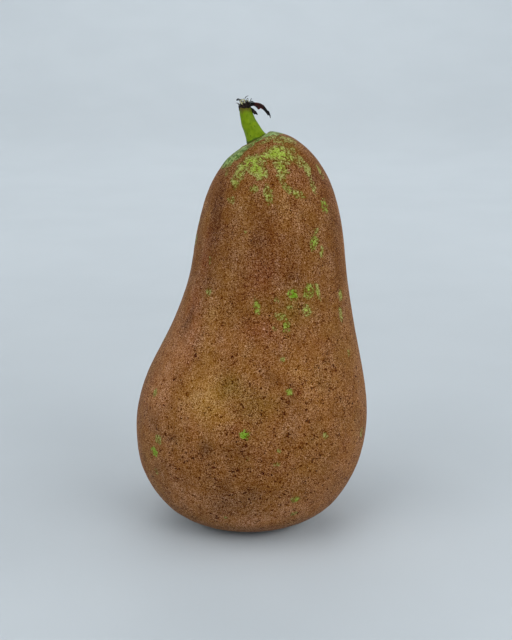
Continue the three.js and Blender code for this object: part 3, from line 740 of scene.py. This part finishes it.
def stalk_material():
    g = Shader("stalk_skin")
    P = g.P
    share = g.attr("share")
    capv = g.attr("cap")
    tall = g.vec("MULTIPLY", P, (1.0, 1.0, 0.18))
    streak = g.noise(0.55, 3.0, 0.6, at=tall)
    mott = g.noise(1.5, 3.0, 0.55, offset=4.0)
    fine = g.noise(0.35, 2.0, 0.6, offset=8.0)
    colour = g.mix(g.ramp(mott, 0.35, 0.65), tint(99, 124, 6), tint(116, 140, 13))
    colour = g.mix(g.m("MULTIPLY", g.ramp(streak, 0.50, 0.68), 0.35), colour, tint(120, 144, 30))
    colour = g.mix(g.m("MULTIPLY", g.ramp(streak, 0.48, 0.34), 0.35), colour, tint(76, 102, 12))
    # lenticels of the stalk
    sp = g.cells(1.6, offset=3.0)
    rnd = g.xyz(sp.outputs["Color"])
    spot = g.m("MULTIPLY", g.ramp(sp.outputs["Distance"], 0.24, 0.10), g.ramp(rnd[1], 0.45, 0.55))
    colour = g.mix(g.m("MULTIPLY", spot, 0.75), colour, tint(54, 80, 10))
    # painted shade at the crease where the stalk meets the fruit, and brown under the withered end
    colour = g.mix(g.ramp(g.m("ADD", share, g.m("MULTIPLY", g.m("SUBTRACT", mott, 0.5), 0.10)), 0.04, 0.0), colour, tint(66, 88, 18))
    brown = g.ramp(g.m("ADD", share, g.m("MULTIPLY", g.m("SUBTRACT", mott, 0.5), 0.30)), 0.70, 0.87)
    colour = g.mix(g.m("MULTIPLY", brown, 0.9), colour, tint(90, 76, 28))
    h = g.m("ADD", g.m("MULTIPLY", streak, 0.7), g.m("MULTIPLY", mott, 0.5))
    # the withered end
    dead = g.mix(g.ramp(fine, 0.42, 0.66), tint(12, 9, 8), tint(46, 37, 34))
    dead = g.mix(g.m("MULTIPLY", g.ramp(g.noise(1.1, 3.0, 0.6, offset=33.0), 0.56, 0.66), 0.55), dead, tint(74, 56, 44))
    c = g.ramp(capv, 0.42, 0.58)
    colour = g.mix(c, colour, dead)
    h = g.m("ADD", h, g.m("MULTIPLY", g.m("MULTIPLY", fine, 1.6), c))
    nrm = g.bump(h, 0.07, 0.8)
    rough = g.m("ADD", g.m("MULTIPLY_ADD", g.m("SUBTRACT", mott, 0.5), 0.3, 0.46), g.m("MULTIPLY", c, 0.34), clamp=True)
    return g.finish(colour, rough, nrm, IOR=1.45, Specular_IOR_Level=0.09)


def scrap_material(name, dark, mid, warm, size=0.5, span=None):
    """Withered tissue; span limits the warm blotches to a stretch (from, to, fade in mm) across."""
    g = Shader(name)
    n1 = g.noise(size, 3.0, 0.65)
    n2 = g.noise(size * 3.2, 2.0, 0.5, offset=5.0)
    colour = g.mix(g.ramp(n1, 0.42, 0.66), tint(*dark), tint(*mid))
    blotch = g.m("MULTIPLY", g.ramp(n2, 0.46, 0.60), 0.9)
    if span:
        x = g.xyz(g.P)[0]
        blotch = g.m("MULTIPLY", blotch, g.m("MULTIPLY", g.ramp(x, span[0] - span[2], span[0]), g.ramp(x, span[1] + span[2], span[1])))
    colour = g.mix(blotch, colour, tint(*warm))
    lines = g.noise(size * 0.35, 2.0, 0.5, offset=12.0)
    nrm = g.bump(g.m("ADD", n1, g.m("MULTIPLY", lines, 0.5)), 0.08, 0.9)
    rough = g.m("MULTIPLY_ADD", n1, 0.4, 0.48, clamp=True)
    return g.finish(colour, rough, nrm, IOR=1.45, Specular_IOR_Level=0.25)


# ----------------------------------------------------------------- the stalk
STALK_LINE = [
    [-0.15, 0.05, 0.34], [-1.36, 0.45, 3.19], [-2.24, 0.70, 4.92], [-2.83, 0.85, 6.67],
    [-3.27, 0.95, 8.42], [-3.50, 1.01, 10.10], [-3.60, 1.04, 11.05],
]
STALK_SHAPE = [
    (-0.14, 3.02), (0.00, 2.93), (0.03, 2.88), (0.08, 2.74), (0.17, 2.62), (0.28, 2.52), (0.42, 2.36),
    (0.56, 2.14), (0.66, 2.00), (0.76, 1.84), (0.86, 1.72), (0.93, 1.66), (0.985, 1.50), (1.00, 1.28),
]


def make_stalk(material):
    # centre line, carried on 1.7 mm down into the fruit
    base = np.array(STALK_LINE, float)
    down = base[0] - (base[1] - base[0]) / np.linalg.norm(base[1] - base[0]) * 1.7
    line = spline(np.vstack([down, base]) + SEAT, 150)
    length = np.concatenate([[0], np.cumsum(np.linalg.norm(np.diff(line, axis=0), axis=1))])
    share = (length - 1.7) / (length[-1] - 1.7)
    shp = np.array(STALK_SHAPE)
    radius = np.interp(share, shp[:, 0], shp[:, 1])
    kernel = np.exp(-0.5 * (np.arange(-6, 7) / 2.5) ** 2)
    kernel /= kernel.sum()
    radius = np.convolve(np.pad(radius, 6, mode="edge"), kernel, mode="valid")
    cols = 96
    t, a, b = frames_along(line, (0, 1, 0))
    ang = np.linspace(0, 2 * math.pi, cols, endpoint=False)
    L, A = np.meshgrid(share, ang, indexing="ij")
    # a is across the view (+X side at angle 0), b is in depth
    X = np.cos(A)
    P0 = line[:, None, :] + radius[:, None, None] * (np.cos(A)[..., None] * a[:, None, :] + np.sin(A)[..., None] * b[:, None, :])
    turn = A + 1.3 * L
    r = radius[:, None] + 0.045 * np.cos(7 * turn + 0.8) * smooth(L / 0.2) + 0.03 * np.cos(4 * A + 2 * L)
    r = r + 0.10 * vnoise(P0 * [1, 1, 0.4], 2.2, 11, 2)
    # the foot spreads, most of all on the right
    r = r + (0.16 + 0.42 * np.maximum(0, X * np.sign(1.0))) * np.exp(-np.maximum(L, 0) / 0.11)
    # a slight waist below the withered end, then the ragged husk
    edge = 0.865 + 0.020 * vnoise(np.stack([3 * np.cos(A), 3 * np.sin(A), 0 * A], -1), 1.1, 5, 2) - 0.085 * np.exp(-(((A - math.pi) / 0.30) ** 2)) - 0.02 * X
    cap = smooth((L - edge) / 0.03 * 0.5 + 0.5)
    husk = 0.10 + 0.10 * vnoise(P0 * [1.6, 1.6, 0.6], 0.9, 13, 2) + 0.05 * np.sin(15 * A + 4 * vnoise(P0, 1.5, 14))
    r = r + cap * husk - 0.05 * np.exp(-(((L - edge + 0.02) / 0.02) ** 2))
    P = line[:, None, :] + r[..., None] * (np.cos(A)[..., None] * a[:, None, :] + np.sin(A)[..., None] * b[:, None, :])
    # broken, uneven end: some shreds stand higher
    tall = smooth((L - 0.90) / 0.10)
    P = P + (tall * (0.05 - 0.42 * np.maximum(0, -X) ** 2 + 0.05 * X + 0.22 * vnoise(np.stack([2.2 * np.cos(A), 2.2 * np.sin(A), 0 * A + 9], -1), 0.9, 17, 2)))[..., None] * t[:, None, :]
    rows = [P]
    capv = [cap]
    sh = [L]
    # the end dips in towards the middle
    for k, (shrink, dip) in enumerate([(0.90, 0.10), (0.72, 0.22), (0.52, 0.38), (0.30, 0.42), (0.12, 0.30)]):
        ring = line[-1] + (P[-1] - line[-1]) * shrink
        bump = 0.12 * vnoise(ring * 1.0, 0.7, 23 + k)
        ring = ring + (dip + bump)[..., None] * t[-1]
        rows.append(ring[None])
        capv.append(np.ones((1, cols)))
        sh.append(np.ones((1, cols)))
    P = np.concatenate(rows)
    n = len(P)
    verts = np.concatenate([P.reshape(-1, 3), P[:1].mean(1), P[-1:].mean(1)])
    faces = grid_faces(n, cols, flip=True)
    lo, hi = n * cols, n * cols + 1
    for j in range(cols):
        k = (j + 1) % cols
        faces.append([lo, j, k])
        faces.append([hi, (n - 1) * cols + k, (n - 1) * cols + j])
    attrs = {
        "share": np.concatenate([np.concatenate(sh).ravel(), [-0.1, 1.0]]),
        "cap": np.concatenate([np.concatenate(capv).ravel(), [0.0, 1.0]]),
    }
    return make("pear_stalk", verts, faces, None, attrs, material)


# ------------------------------------------------------------ the dried scraps
def place(px, py, y=0.0):
    """A point beside the stalk's end from its place across and up (0.2985 mm and 0.2955 mm a step), y mm behind the seat's middle."""
    return [SEAT[0] + (px - 256.54) * 0.2985, SEAT[1] + y, SEAT[2] + (140.16 - py) * 0.2955]


def ribbon(soup, top, bottom, y, thick, cup, seed, n=90, m=22, rag=0.06, **attrs):
    """A withered strip between two outlines given left to right."""
    T = spline(np.array([place(*p, 0) for p in top]), n)
    B = spline(np.array([place(*p, 0) for p in bottom]), n)
    u = np.linspace(0, 1, n)
    yy = np.interp(u, np.linspace(0, 1, len(y)), y)
    C, H = (T + B) / 2, (T - B) / 2
    half = np.linalg.norm(H, axis=1)
    W = H / np.maximum(half, 1e-6)[:, None]
    phi = np.linspace(0, 2 * math.pi, m, endpoint=False)
    U, F = np.meshgrid(u, phi, indexing="ij")
    w = np.cos(F)
    q = np.stack([U * n * 0.12, w * 0.9, np.sin(F) * 0.6], -1)
    ragged = 1 + rag * 2.0 * vnoise(q * 1.5, 0.8, seed, 2)
    th = np.interp(U, np.linspace(0, 1, len(thick)), thick)
    cu = np.interp(U, np.linspace(0, 1, len(cup)), cup)
    depth = np.sin(F) * th * (0.75 + 0.25 * np.abs(np.sin(F))) + cu * (1 - w * w) + 0.05 * vnoise(q * 2.2, 0.7, seed + 3, 2)
    P = C[:, None, :] + (w * ragged * half[:, None])[..., None] * W[:, None, :]
    P[..., 1] += yy[:, None] + depth
    P[..., 0] += 0.03 * vnoise(q * 2.0, 0.5, seed + 5)
    P[..., 2] += 0.03 * vnoise(q * 2.0, 0.5, seed + 6)
    verts = np.concatenate([P.reshape(-1, 3), P[:1].mean(1), P[-1:].mean(1)])
    faces = grid_faces(n, m)
    lo, hi = n * m, n * m + 1
    for j in range(m):
        k = (j + 1) % m
        faces.append([lo, k, j])
        faces.append([hi, (n - 1) * m + j, (n - 1) * m + k])
    soup.add(verts, faces, **attrs)


def tube(soup, points, radii, seed, sides=8, n=24, **attrs):
    """A thin fibre through the points, tapering as given."""
    line = spline(points, n)
    line = line + 0.05 * np.stack([vnoise(line * 1.7, 0.8, seed + k) for k in range(3)], -1)

    def ring(U, A):
        r = np.interp(U, np.linspace(0, 1, len(radii)), radii) * (1 + 0.25 * vnoise(np.stack([U * 9, np.cos(A), np.sin(A)], -1), 0.9, seed))
        return r * np.cos(A), r * np.sin(A)

    d = line[-1] - line[0]
    side = (0, 1, 0) if abs(d[1]) < 0.8 * np.linalg.norm(d) else (0, 0, 1)
    verts, faces, _, _ = swept(line, ring, sides, side)
    soup.add(verts, faces, **attrs)


def flake(soup, centre, u_dir, v_dir, ru, rv, thick, curl, seed, n=14, m=26, **attrs):
    """A thin curled chip, with a torn outline."""
    centre, u_dir, v_dir = (np.asarray(x, float) for x in (centre, u_dir, v_dir))
    u_dir /= np.linalg.norm(u_dir)
    v_dir -= (v_dir @ u_dir) * u_dir
    v_dir /= np.linalg.norm(v_dir)
    w_dir = np.cross(u_dir, v_dir)
    rad = np.sin(np.linspace(0.04, math.pi - 0.04, 2 * n))
    side = np.cos(np.linspace(0.04, math.pi - 0.04, 2 * n))
    ang = np.linspace(0, 2 * math.pi, m, endpoint=False)
    R, A = np.meshgrid(rad, ang, indexing="ij")
    Sd = np.repeat(side[:, None], m, 1)
    torn = 1 + 0.30 * vnoise(np.stack([2 * np.cos(A), 2 * np.sin(A), 0 * A], -1), 0.8, seed, 2)
    x, y = R * np.cos(A) * ru * torn, R * np.sin(A) * rv * torn
    w = Sd * thick + curl * ((x / ru) ** 2 - 0.3 * (y / rv) ** 2) + 0.06 * vnoise(np.stack([x, y, 0 * x], -1) * 2, 0.6, seed + 4)
    P = centre + x[..., None] * u_dir + y[..., None] * v_dir + w[..., None] * w_dir
    verts = np.concatenate([P.reshape(-1, 3), P[:1].mean(1), P[-1:].mean(1)])
    faces = grid_faces(2 * n, m, flip=True)
    lo, hi = 2 * n * m, 2 * n * m + 1
    for j in range(m):
        k = (j + 1) % m
        faces.append([lo, j, k])
        faces.append([hi, (2 * n - 1) * m + k, (2 * n - 1) * m + j])
    soup.add(verts, faces, **attrs)


def make_long_bract(material):
    s = Soup()
    ribbon(s,
           [(247.6, 103.4), (249.4, 102.6), (253.0, 102.4), (256.0, 102.8), (259.0, 103.4), (261.6, 104.2), (264.2, 106.2), (266.6, 109.4), (268.4, 112.0), (269.4, 114.6)],
           [(247.6, 106.6), (250.2, 106.9), (253.4, 106.0), (255.6, 107.0), (258.4, 108.7), (260.8, 108.4), (263.2, 109.9), (265.8, 112.5), (267.8, 115.2)],
           [1.0, 0.75, 0.45, 0.15, -0.2, -0.6, -0.85], [0.24, 0.34, 0.32, 0.26, 0.24, 0.22, 0.08], [0.10, 0.30, 0.42, 0.34, 0.25, 0.15, 0.02], 31, n=130, m=28)
    # the edge folded over, seen as a darker keel
    ribbon(s,
           [(252.0, 102.6), (256.0, 102.5), (260.0, 103.2), (263.6, 105.1), (266.6, 108.8), (268.4, 111.6)],
           [(252.0, 104.0), (256.0, 104.0), (259.6, 104.9), (262.8, 106.9), (265.6, 110.2), (267.4, 112.8)],
           [0.55, 0.2, -0.1, -0.35, -0.6, -0.8], [0.05, 0.18, 0.20, 0.18, 0.16, 0.05], [-0.05, -0.32, -0.42, -0.36, -0.25, -0.05], 35, n=80, m=18)
    # the tooth under it and the thread at its tip
    ribbon(s, [(256.2, 106.2), (258.2, 106.6), (260.4, 107.0)], [(256.4, 107.6), (258.4, 109.5), (260.6, 108.2)],
           [0.3, 0.1, -0.05], [0.05, 0.18, 0.05], [0.0, 0.05, 0.0], 37, n=30, m=14)
    tube(s, [place(267.6, 110.6, -0.75), place(268.9, 112.9, -0.85), place(269.7, 115.0, -0.9), place(270.4, 117.8, -0.95)], [0.20, 0.24, 0.19, 0.07], 41, sides=12, n=40)
    # matted root against the stalk
    tube(s, [place(249.4, 102.6, 0.9), place(251.2, 101.6, 0.8), place(253.8, 102.2, 0.5)], [0.12, 0.20, 0.08], 43, sides=10, n=26)
    tube(s, [place(248.6, 105.4, -0.3), place(250.8, 105.0, -0.5), place(253.0, 105.2, -0.2)], [0.16, 0.22, 0.08], 45, sides=10, n=26)
    return make("dried_bract_long", s.verts(), s.f, None, None, material)


def make_short_bract(material):
    s = Soup()
    ribbon(s,
           [(249.6, 107.0), (251.6, 107.8), (253.9, 109.2), (256.2, 111.4), (257.8, 113.9)],
           [(249.9, 109.4), (251.5, 111.3), (252.9, 113.0), (255.0, 113.4), (257.1, 115.0)],
           [0.9, 0.6, 0.2, -0.1, -0.25], [0.24, 0.30, 0.30, 0.22, 0.08], [0.05, 0.20, 0.25, 0.12, 0.0], 51, n=80, m=24)
    ribbon(s, [(252.8, 111.4), (254.6, 111.8), (256.2, 112.8)], [(253.0, 113.2), (255.0, 114.5), (256.8, 113.6)],
           [0.25, 0.1, 0.0], [0.05, 0.16, 0.05], [0.0, 0.04, 0.0], 53, n=26, m=12)
    return make("dried_bract_short", s.verts(), s.f, None, None, material)


def make_tuft(flake_mat, fibre_mat):
    s = Soup()
    # a curled, broken ring of pale tissue over the left of the end, and a chip to its right
    flake(s, place(241.3, 102.6, -0.55), (0.9, 0.1, -0.9), (0.1, -0.55, 0.8), 0.62, 0.26, 0.07, 0.16, 61)
    flake(s, place(241.5, 100.3, -0.35), (0.75, 0.1, 0.75), (-0.4, -0.5, 0.6), 0.60, 0.24, 0.07, -0.16, 63)
    flake(s, place(243.9, 99.9, -0.2), (1, 0.1, -0.25), (0.1, -0.5, 0.85), 0.52, 0.24, 0.06, 0.12, 65)
    flake(s, place(244.6, 101.5, -0.5), (0.3, 0.1, -1), (0.9, -0.4, 0.2), 0.48, 0.20, 0.06, 0.12, 67)
    flake(s, place(243.0, 102.0, -0.8), (0.9, -0.3, 0.2), (0.1, -0.5, 0.85), 0.34, 0.15, 0.05, 0.08, 69)
    flake(s, place(248.0, 100.9, 0.1), (0.75, 0.1, -0.55), (0.3, -0.6, 0.6), 0.46, 0.20, 0.06, 0.12, 71)
    flakes = make("dry_flakes", s.verts(), s.f, None, None, flake_mat)
    f = Soup()
    # a grey blade to the left, with split ends
    ribbon(f, [(243.0, 101.6), (241.0, 100.0), (239.0, 98.5), (237.6, 98.6), (236.5, 99.6)], [(242.4, 103.0), (240.4, 101.4), (238.6, 100.6), (237.4, 100.7), (236.3, 100.4)],
           [0.3, 0.25, 0.15, 0.05, 0.0], [0.08, 0.10, 0.09, 0.07, 0.03], [0.0, 0.10, 0.12, 0.08, 0.0], 77, n=50, m=16, rag=0.16)
    for k, (dy, dz) in enumerate([(0.0, 0.0), (0.15, 0.45), (-0.12, -0.4), (0.22, 0.9)]):
        tube(f, [place(242.2, 101.4 - dz * 0.6, 0.3 + dy), place(240.2, 100.0 - dz * 0.5, 0.25 + dy), place(238.2, 99.6 - dz * 0.3, 0.15 + dy), place(236.7 + 0.35 * k, 100.3 - dz, 0.05 + dy)],
             [0.10, 0.12, 0.10, 0.03], 80 + k)
    tube(f, [place(241.4, 105.2, 0.2), place(239.4, 104.4, 0.1), place(237.7, 103.3, 0.0), place(236.0, 102.8, -0.1)], [0.16, 0.16, 0.13, 0.04], 90)
    tube(f, [place(240.6, 105.6, 0.3), place(239.2, 104.9, 0.1), place(238.0, 104.6, 0.0)], [0.13, 0.12, 0.05], 91)
    # wisps standing up
    tube(f, [place(245.4, 101.8, 0.6), place(245.0, 99.2, 0.7), place(246.0, 97.2, 0.8), place(248.4, 95.8, 0.9)], [0.13, 0.12, 0.13, 0.05], 92)
    tube(f, [place(246.4, 101.6, 0.7), place(246.9, 99.6, 0.8), place(247.6, 98.7, 0.9), place(248.5, 99.5, 0.9)], [0.11, 0.10, 0.09, 0.04], 93)
    tube(f, [place(249.2, 103.4, 0.8), place(250.2, 101.2, 0.9), place(251.2, 99.4, 1.0), place(251.5, 98.6, 1.05)], [0.09, 0.08, 0.12, 0.09], 94)
    tube(f, [place(244.2, 102.0, 0.5), place(243.5, 99.7, 0.7), place(243.9, 98.3, 0.9)], [0.09, 0.08, 0.03], 95)
    tube(f, [place(242.8, 102.6, 1.0), place(241.5, 100.2, 1.4), place(240.9, 98.8, 1.8)], [0.09, 0.08, 0.03], 96)
    tube(f, [place(246.6, 102.7, 1.2), place(247.8, 101.0, 1.8), place(248.5, 99.9, 2.2)], [0.10, 0.08, 0.03], 97)
    tube(f, [place(248.6, 103.6, 0.7), place(250.1, 101.9, 0.5), place(252.4, 101.3, 0.4)], [0.13, 0.16, 0.09], 98)
    tube(f, [place(246.2, 102.4, 0.2), place(246.0, 101.0, 0.0), place(245.2, 100.1, -0.2)], [0.14, 0.12, 0.04], 99)
    tube(f, [place(250.2, 103.4, 0.2), place(251.6, 102.2, 0.0), place(253.6, 102.4, 0.0)], [0.14, 0.17, 0.08], 100)
    fibres = make("dry_fibres", f.verts(), f.f, None, None, fibre_mat)
    return flakes, fibres


# ------------------------------------------------------------------ the calyx
def make_calyx(material):
    s = Soup()
    cx, cy = BASE_CENTRE
    cols = 48
    prof = np.array([[0.05, 3.30], [0.5, 3.22], [0.9, 3.35], [1.25, 3.30], [1.55, 3.12], [1.70, 3.22], [1.72, 3.34], [1.60, 3.44], [1.2, 3.50], [0.6, 3.52], [0.05, 3.52]])
    dense = along(prof, np.linspace(0, len(prof) - 1, 44))
    ang = np.linspace(0, 2 * math.pi, cols, endpoint=False)
    R, A = np.meshgrid(dense[:, 0], ang, indexing="ij")
    Z = np.repeat(dense[:, 1][:, None], cols, 1)
    w = 1 + 0.05 * np.cos(5 * A) + 0.05 * vnoise(np.stack([2 * np.cos(A), 2 * np.sin(A), Z], -1), 0.7, 5)
    P = np.stack([cx + R * w * np.cos(A), cy + R * w * np.sin(A), Z + 0.06 * vnoise(np.stack([R * np.cos(A), R * np.sin(A), Z], -1), 0.6, 7)], -1)
    n = len(dense)
    verts = np.concatenate([P.reshape(-1, 3), P[:1].mean(1), P[-1:].mean(1)])
    faces = grid_faces(n, cols, flip=True)
    for j in range(cols):
        k = (j + 1) % cols
        faces.append([n * cols, j, k])
        faces.append([n * cols + 1, (n - 1) * cols + k, (n - 1) * cols + j])
    s.add(verts, faces)
    rng = np.random.default_rng(4)
    for i in range(5):
        turn = (i + 0.15 * math.sin(3 * i)) * 2 * math.pi / 5 + 0.4
        c, sn = math.cos(turn), math.sin(turn)
        pts = np.array([[0.9, 0, 3.25], [1.7, 0.1, 2.95], [2.4, 0.05, 2.50], [3.0, -0.1, 1.95], [3.35, 0.05, 1.45], [3.30, 0.2, 1.05]])
        pts = pts + rng.normal(0, 0.06, pts.shape)
        pts = np.stack([cx + pts[:, 0] * c - pts[:, 1] * sn, cy + pts[:, 0] * sn + pts[:, 1] * c, pts[:, 2]], 1)
        line = spline(pts, 46)

        def ring(U, A, i=i):
            half = np.interp(U, [0, 0.25, 0.55, 0.8, 1], [0.70, 0.80, 0.62, 0.36, 0.05])
            half = half * (1 + 0.10 * vnoise(np.stack([U * 8, np.cos(A) * 0.6, np.full_like(U, i * 3.0)], -1), 0.8, 9 + i, 2))
            w = np.cos(A)
            return 0.30 * half * (w * w - 0.5) + np.sin(A) * 0.09 + 0.03 * vnoise(np.stack([U * 12, w * 2, np.full_like(U, i * 1.0)], -1), 0.7, 19 + i), half * w

        verts, faces, _, _ = swept(line, ring, 20, (-sn, c, 0))
        s.add(verts, faces)
    for k in range(11):
        a = rng.uniform(0, 2 * math.pi)
        r0, r1 = rng.uniform(0.2, 0.8), rng.uniform(0.3, 1.3)
        b = a + rng.normal(0, 0.5)
        tube(s, [[cx + r0 * math.cos(a), cy + r0 * math.sin(a), 3.35], [cx + (r0 + r1) / 2 * math.cos(a), cy + (r0 + r1) / 2 * math.sin(a), 2.9], [cx + r1 * math.cos(b), cy + r1 * math.sin(b), 2.4 - 0.5 * rng.random()]],
             [0.07, 0.06, 0.08], 120 + k, sides=7, n=14)
    return make("dried_calyx", s.verts(), s.f, None, None, material)


# ------------------------------------------------------------------- the stage
def make_stage():
    g = Shader("pale_ground")
    n = g.noise(60.0, 2.0, 0.5)
    colour = g.mix(g.ramp(n, 0.3, 0.7), (0.532, 0.579, 0.613, 1.0), (0.546, 0.593, 0.627, 1.0))
    # painted light and shade: the ground is painted a shade paler towards the back and a shade deeper up the sweep
    flat = g.vec("LENGTH", g.vec("MULTIPLY", g.P, (1.0, 1.0, 0.0)))
    painted_light_level = g.m("MULTIPLY", g.ramp(flat, 190.0, 480.0, 1.0, 1.095), g.ramp(flat, 700.0, 980.0, 1.0, 0.905))
    colour = g.vec("SCALE", colour, scale=painted_light_level)
    mat = g.finish(colour, 0.85, None, Specular_IOR_Level=0.2)
    prof = [(0.0, 0.0), (0.05, 0.0), (0.15, 0.0), (0.3, 0.0), (0.5, 0.0), (0.7, 0.0)]
    for k in range(1, 13):
        t = k / 12 * math.radians(29)
        prof.append((0.7 + 1.1 * math.sin(t), 1.1 * (1 - math.cos(t))))
    # then a tighter curve up to an upright wall
    r1, z1 = prof[-1]
    for k in range(1, 15):
        t = math.radians(29 + k / 14 * 59)
        prof.append((r1 + 0.40 * (math.sin(t) - math.sin(math.radians(29))), z1 + 0.40 * (math.cos(math.radians(29)) - math.cos(t))))
    prof += [(prof[-1][0], prof[-1][1] + 0.3), (prof[-1][0], prof[-1][1] + 0.7), (prof[-1][0], prof[-1][1] + 1.2)]
    cols = 96
    ang = np.linspace(0, 2 * math.pi, cols, endpoint=False)
    pr = np.array(prof[1:])
    P = np.stack([pr[:, 0][:, None] * np.cos(ang), pr[:, 0][:, None] * np.sin(ang), np.repeat(pr[:, 1][:, None], cols, 1)], -1)
    verts = np.concatenate([P.reshape(-1, 3), [[0, 0, 0]]]) / MM
    faces = grid_faces(len(pr), cols, flip=True)
    c = len(pr) * cols
    faces += [[c, j, (j + 1) % cols] for j in range(cols)]
    floor = make("pale_ground", verts, faces, None, None, mat)

    world = bpy.data.worlds.new("soft_light")
    scene.world = world
    world.use_nodes = True
    bg = world.node_tree.nodes["Background"]
    bg.inputs["Color"].default_value = (1.0, 1.0, 1.0, 1.0)
    bg.inputs["Strength"].default_value = 0.126
    # soft panels 1.5 m away: degrees round from the front, degrees up, height of the panel (m), power (W);
    # the low ones stand clear of the sweep
    for name, turn, rise, tall, power in (
        ("panel_front_right", 45, 25, 0.57, 9.08), ("panel_front_left", -45, 25, 0.57, 4.25), ("panel_high_left", -45, 55, 1.1, 4.3),
        ("panel_right", 95, 25, 0.57, 4.9), ("panel_left", -95, 25, 0.57, 2.27), ("panel_top", 0, 90, 1.1, 3.65), ("panel_backdrop", 180, 25, 0.57, 5.21),
    ):
        d = bpy.data.lights.new(name, "AREA")
        d.shape, d.size, d.size_y = "RECTANGLE", 1.1, tall
        d.energy = power
        o = bpy.data.objects.new(name, d)
        turn, rise = math.radians(turn), math.radians(rise)
        o.location = (1.5 * math.cos(rise) * math.sin(turn), -1.5 * math.cos(rise) * math.cos(turn), 1.5 * math.sin(rise))
        o.rotation_euler = (Vector((0, 0, 0.05)) - o.location).to_track_quat("-Z", "Y").to_euler()
        if rise < 1.0 and tall < 0.8:
            o.location += 0.115 * Vector((-math.sin(rise) * math.sin(turn), math.sin(rise) * math.cos(turn), math.cos(rise)))
        o.visible_camera = False
        scene.collection.objects.link(o)


# -------------------------------------------------------------------- assembly
russet = russet_material()
stalk_skin = stalk_material()
bract = scrap_material("dried_bract", (8, 6, 8), (30, 22, 26), (78, 28, 24), 0.55, span=(SEAT[0] - 0.2, SEAT[0] + 1.6, 0.6))
flake_mat = scrap_material("dried_flake", (150, 148, 110), (236, 234, 214), (186, 180, 124), 0.45)
fibre_mat = scrap_material("dried_fibre", (52, 54, 56), (142, 148, 150), (96, 94, 84), 0.5)
calyx_mat = scrap_material("dried_calyx", (30, 19, 13), (70, 48, 34), (104, 74, 50), 0.6)

fruit = make_fruit(russet)
stalk = make_stalk(stalk_skin)
long_bract = make_long_bract(bract)
short_bract = make_short_bract(scrap_material("dried_bract_black", (6, 5, 7), (24, 19, 22), (36, 24, 24), 0.5))
flakes, fibres = make_tuft(flake_mat, fibre_mat)
calyx = make_calyx(calyx_mat)

for ob, node, slot in (
    (fruit, "fruit", "russet_skin"), (stalk, "stem", "stalk_skin"), (long_bract, "long_bract", "dried_bract"),
    (short_bract, "short_bract", "dried_bract"), (flakes, "dry_tuft", "dried_fibre"), (fibres, "dry_tuft", "dried_fibre"),
    (calyx, "calyx", "dried_calyx"),
):
    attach(ob, "root")
    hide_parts(node)

make_stage()
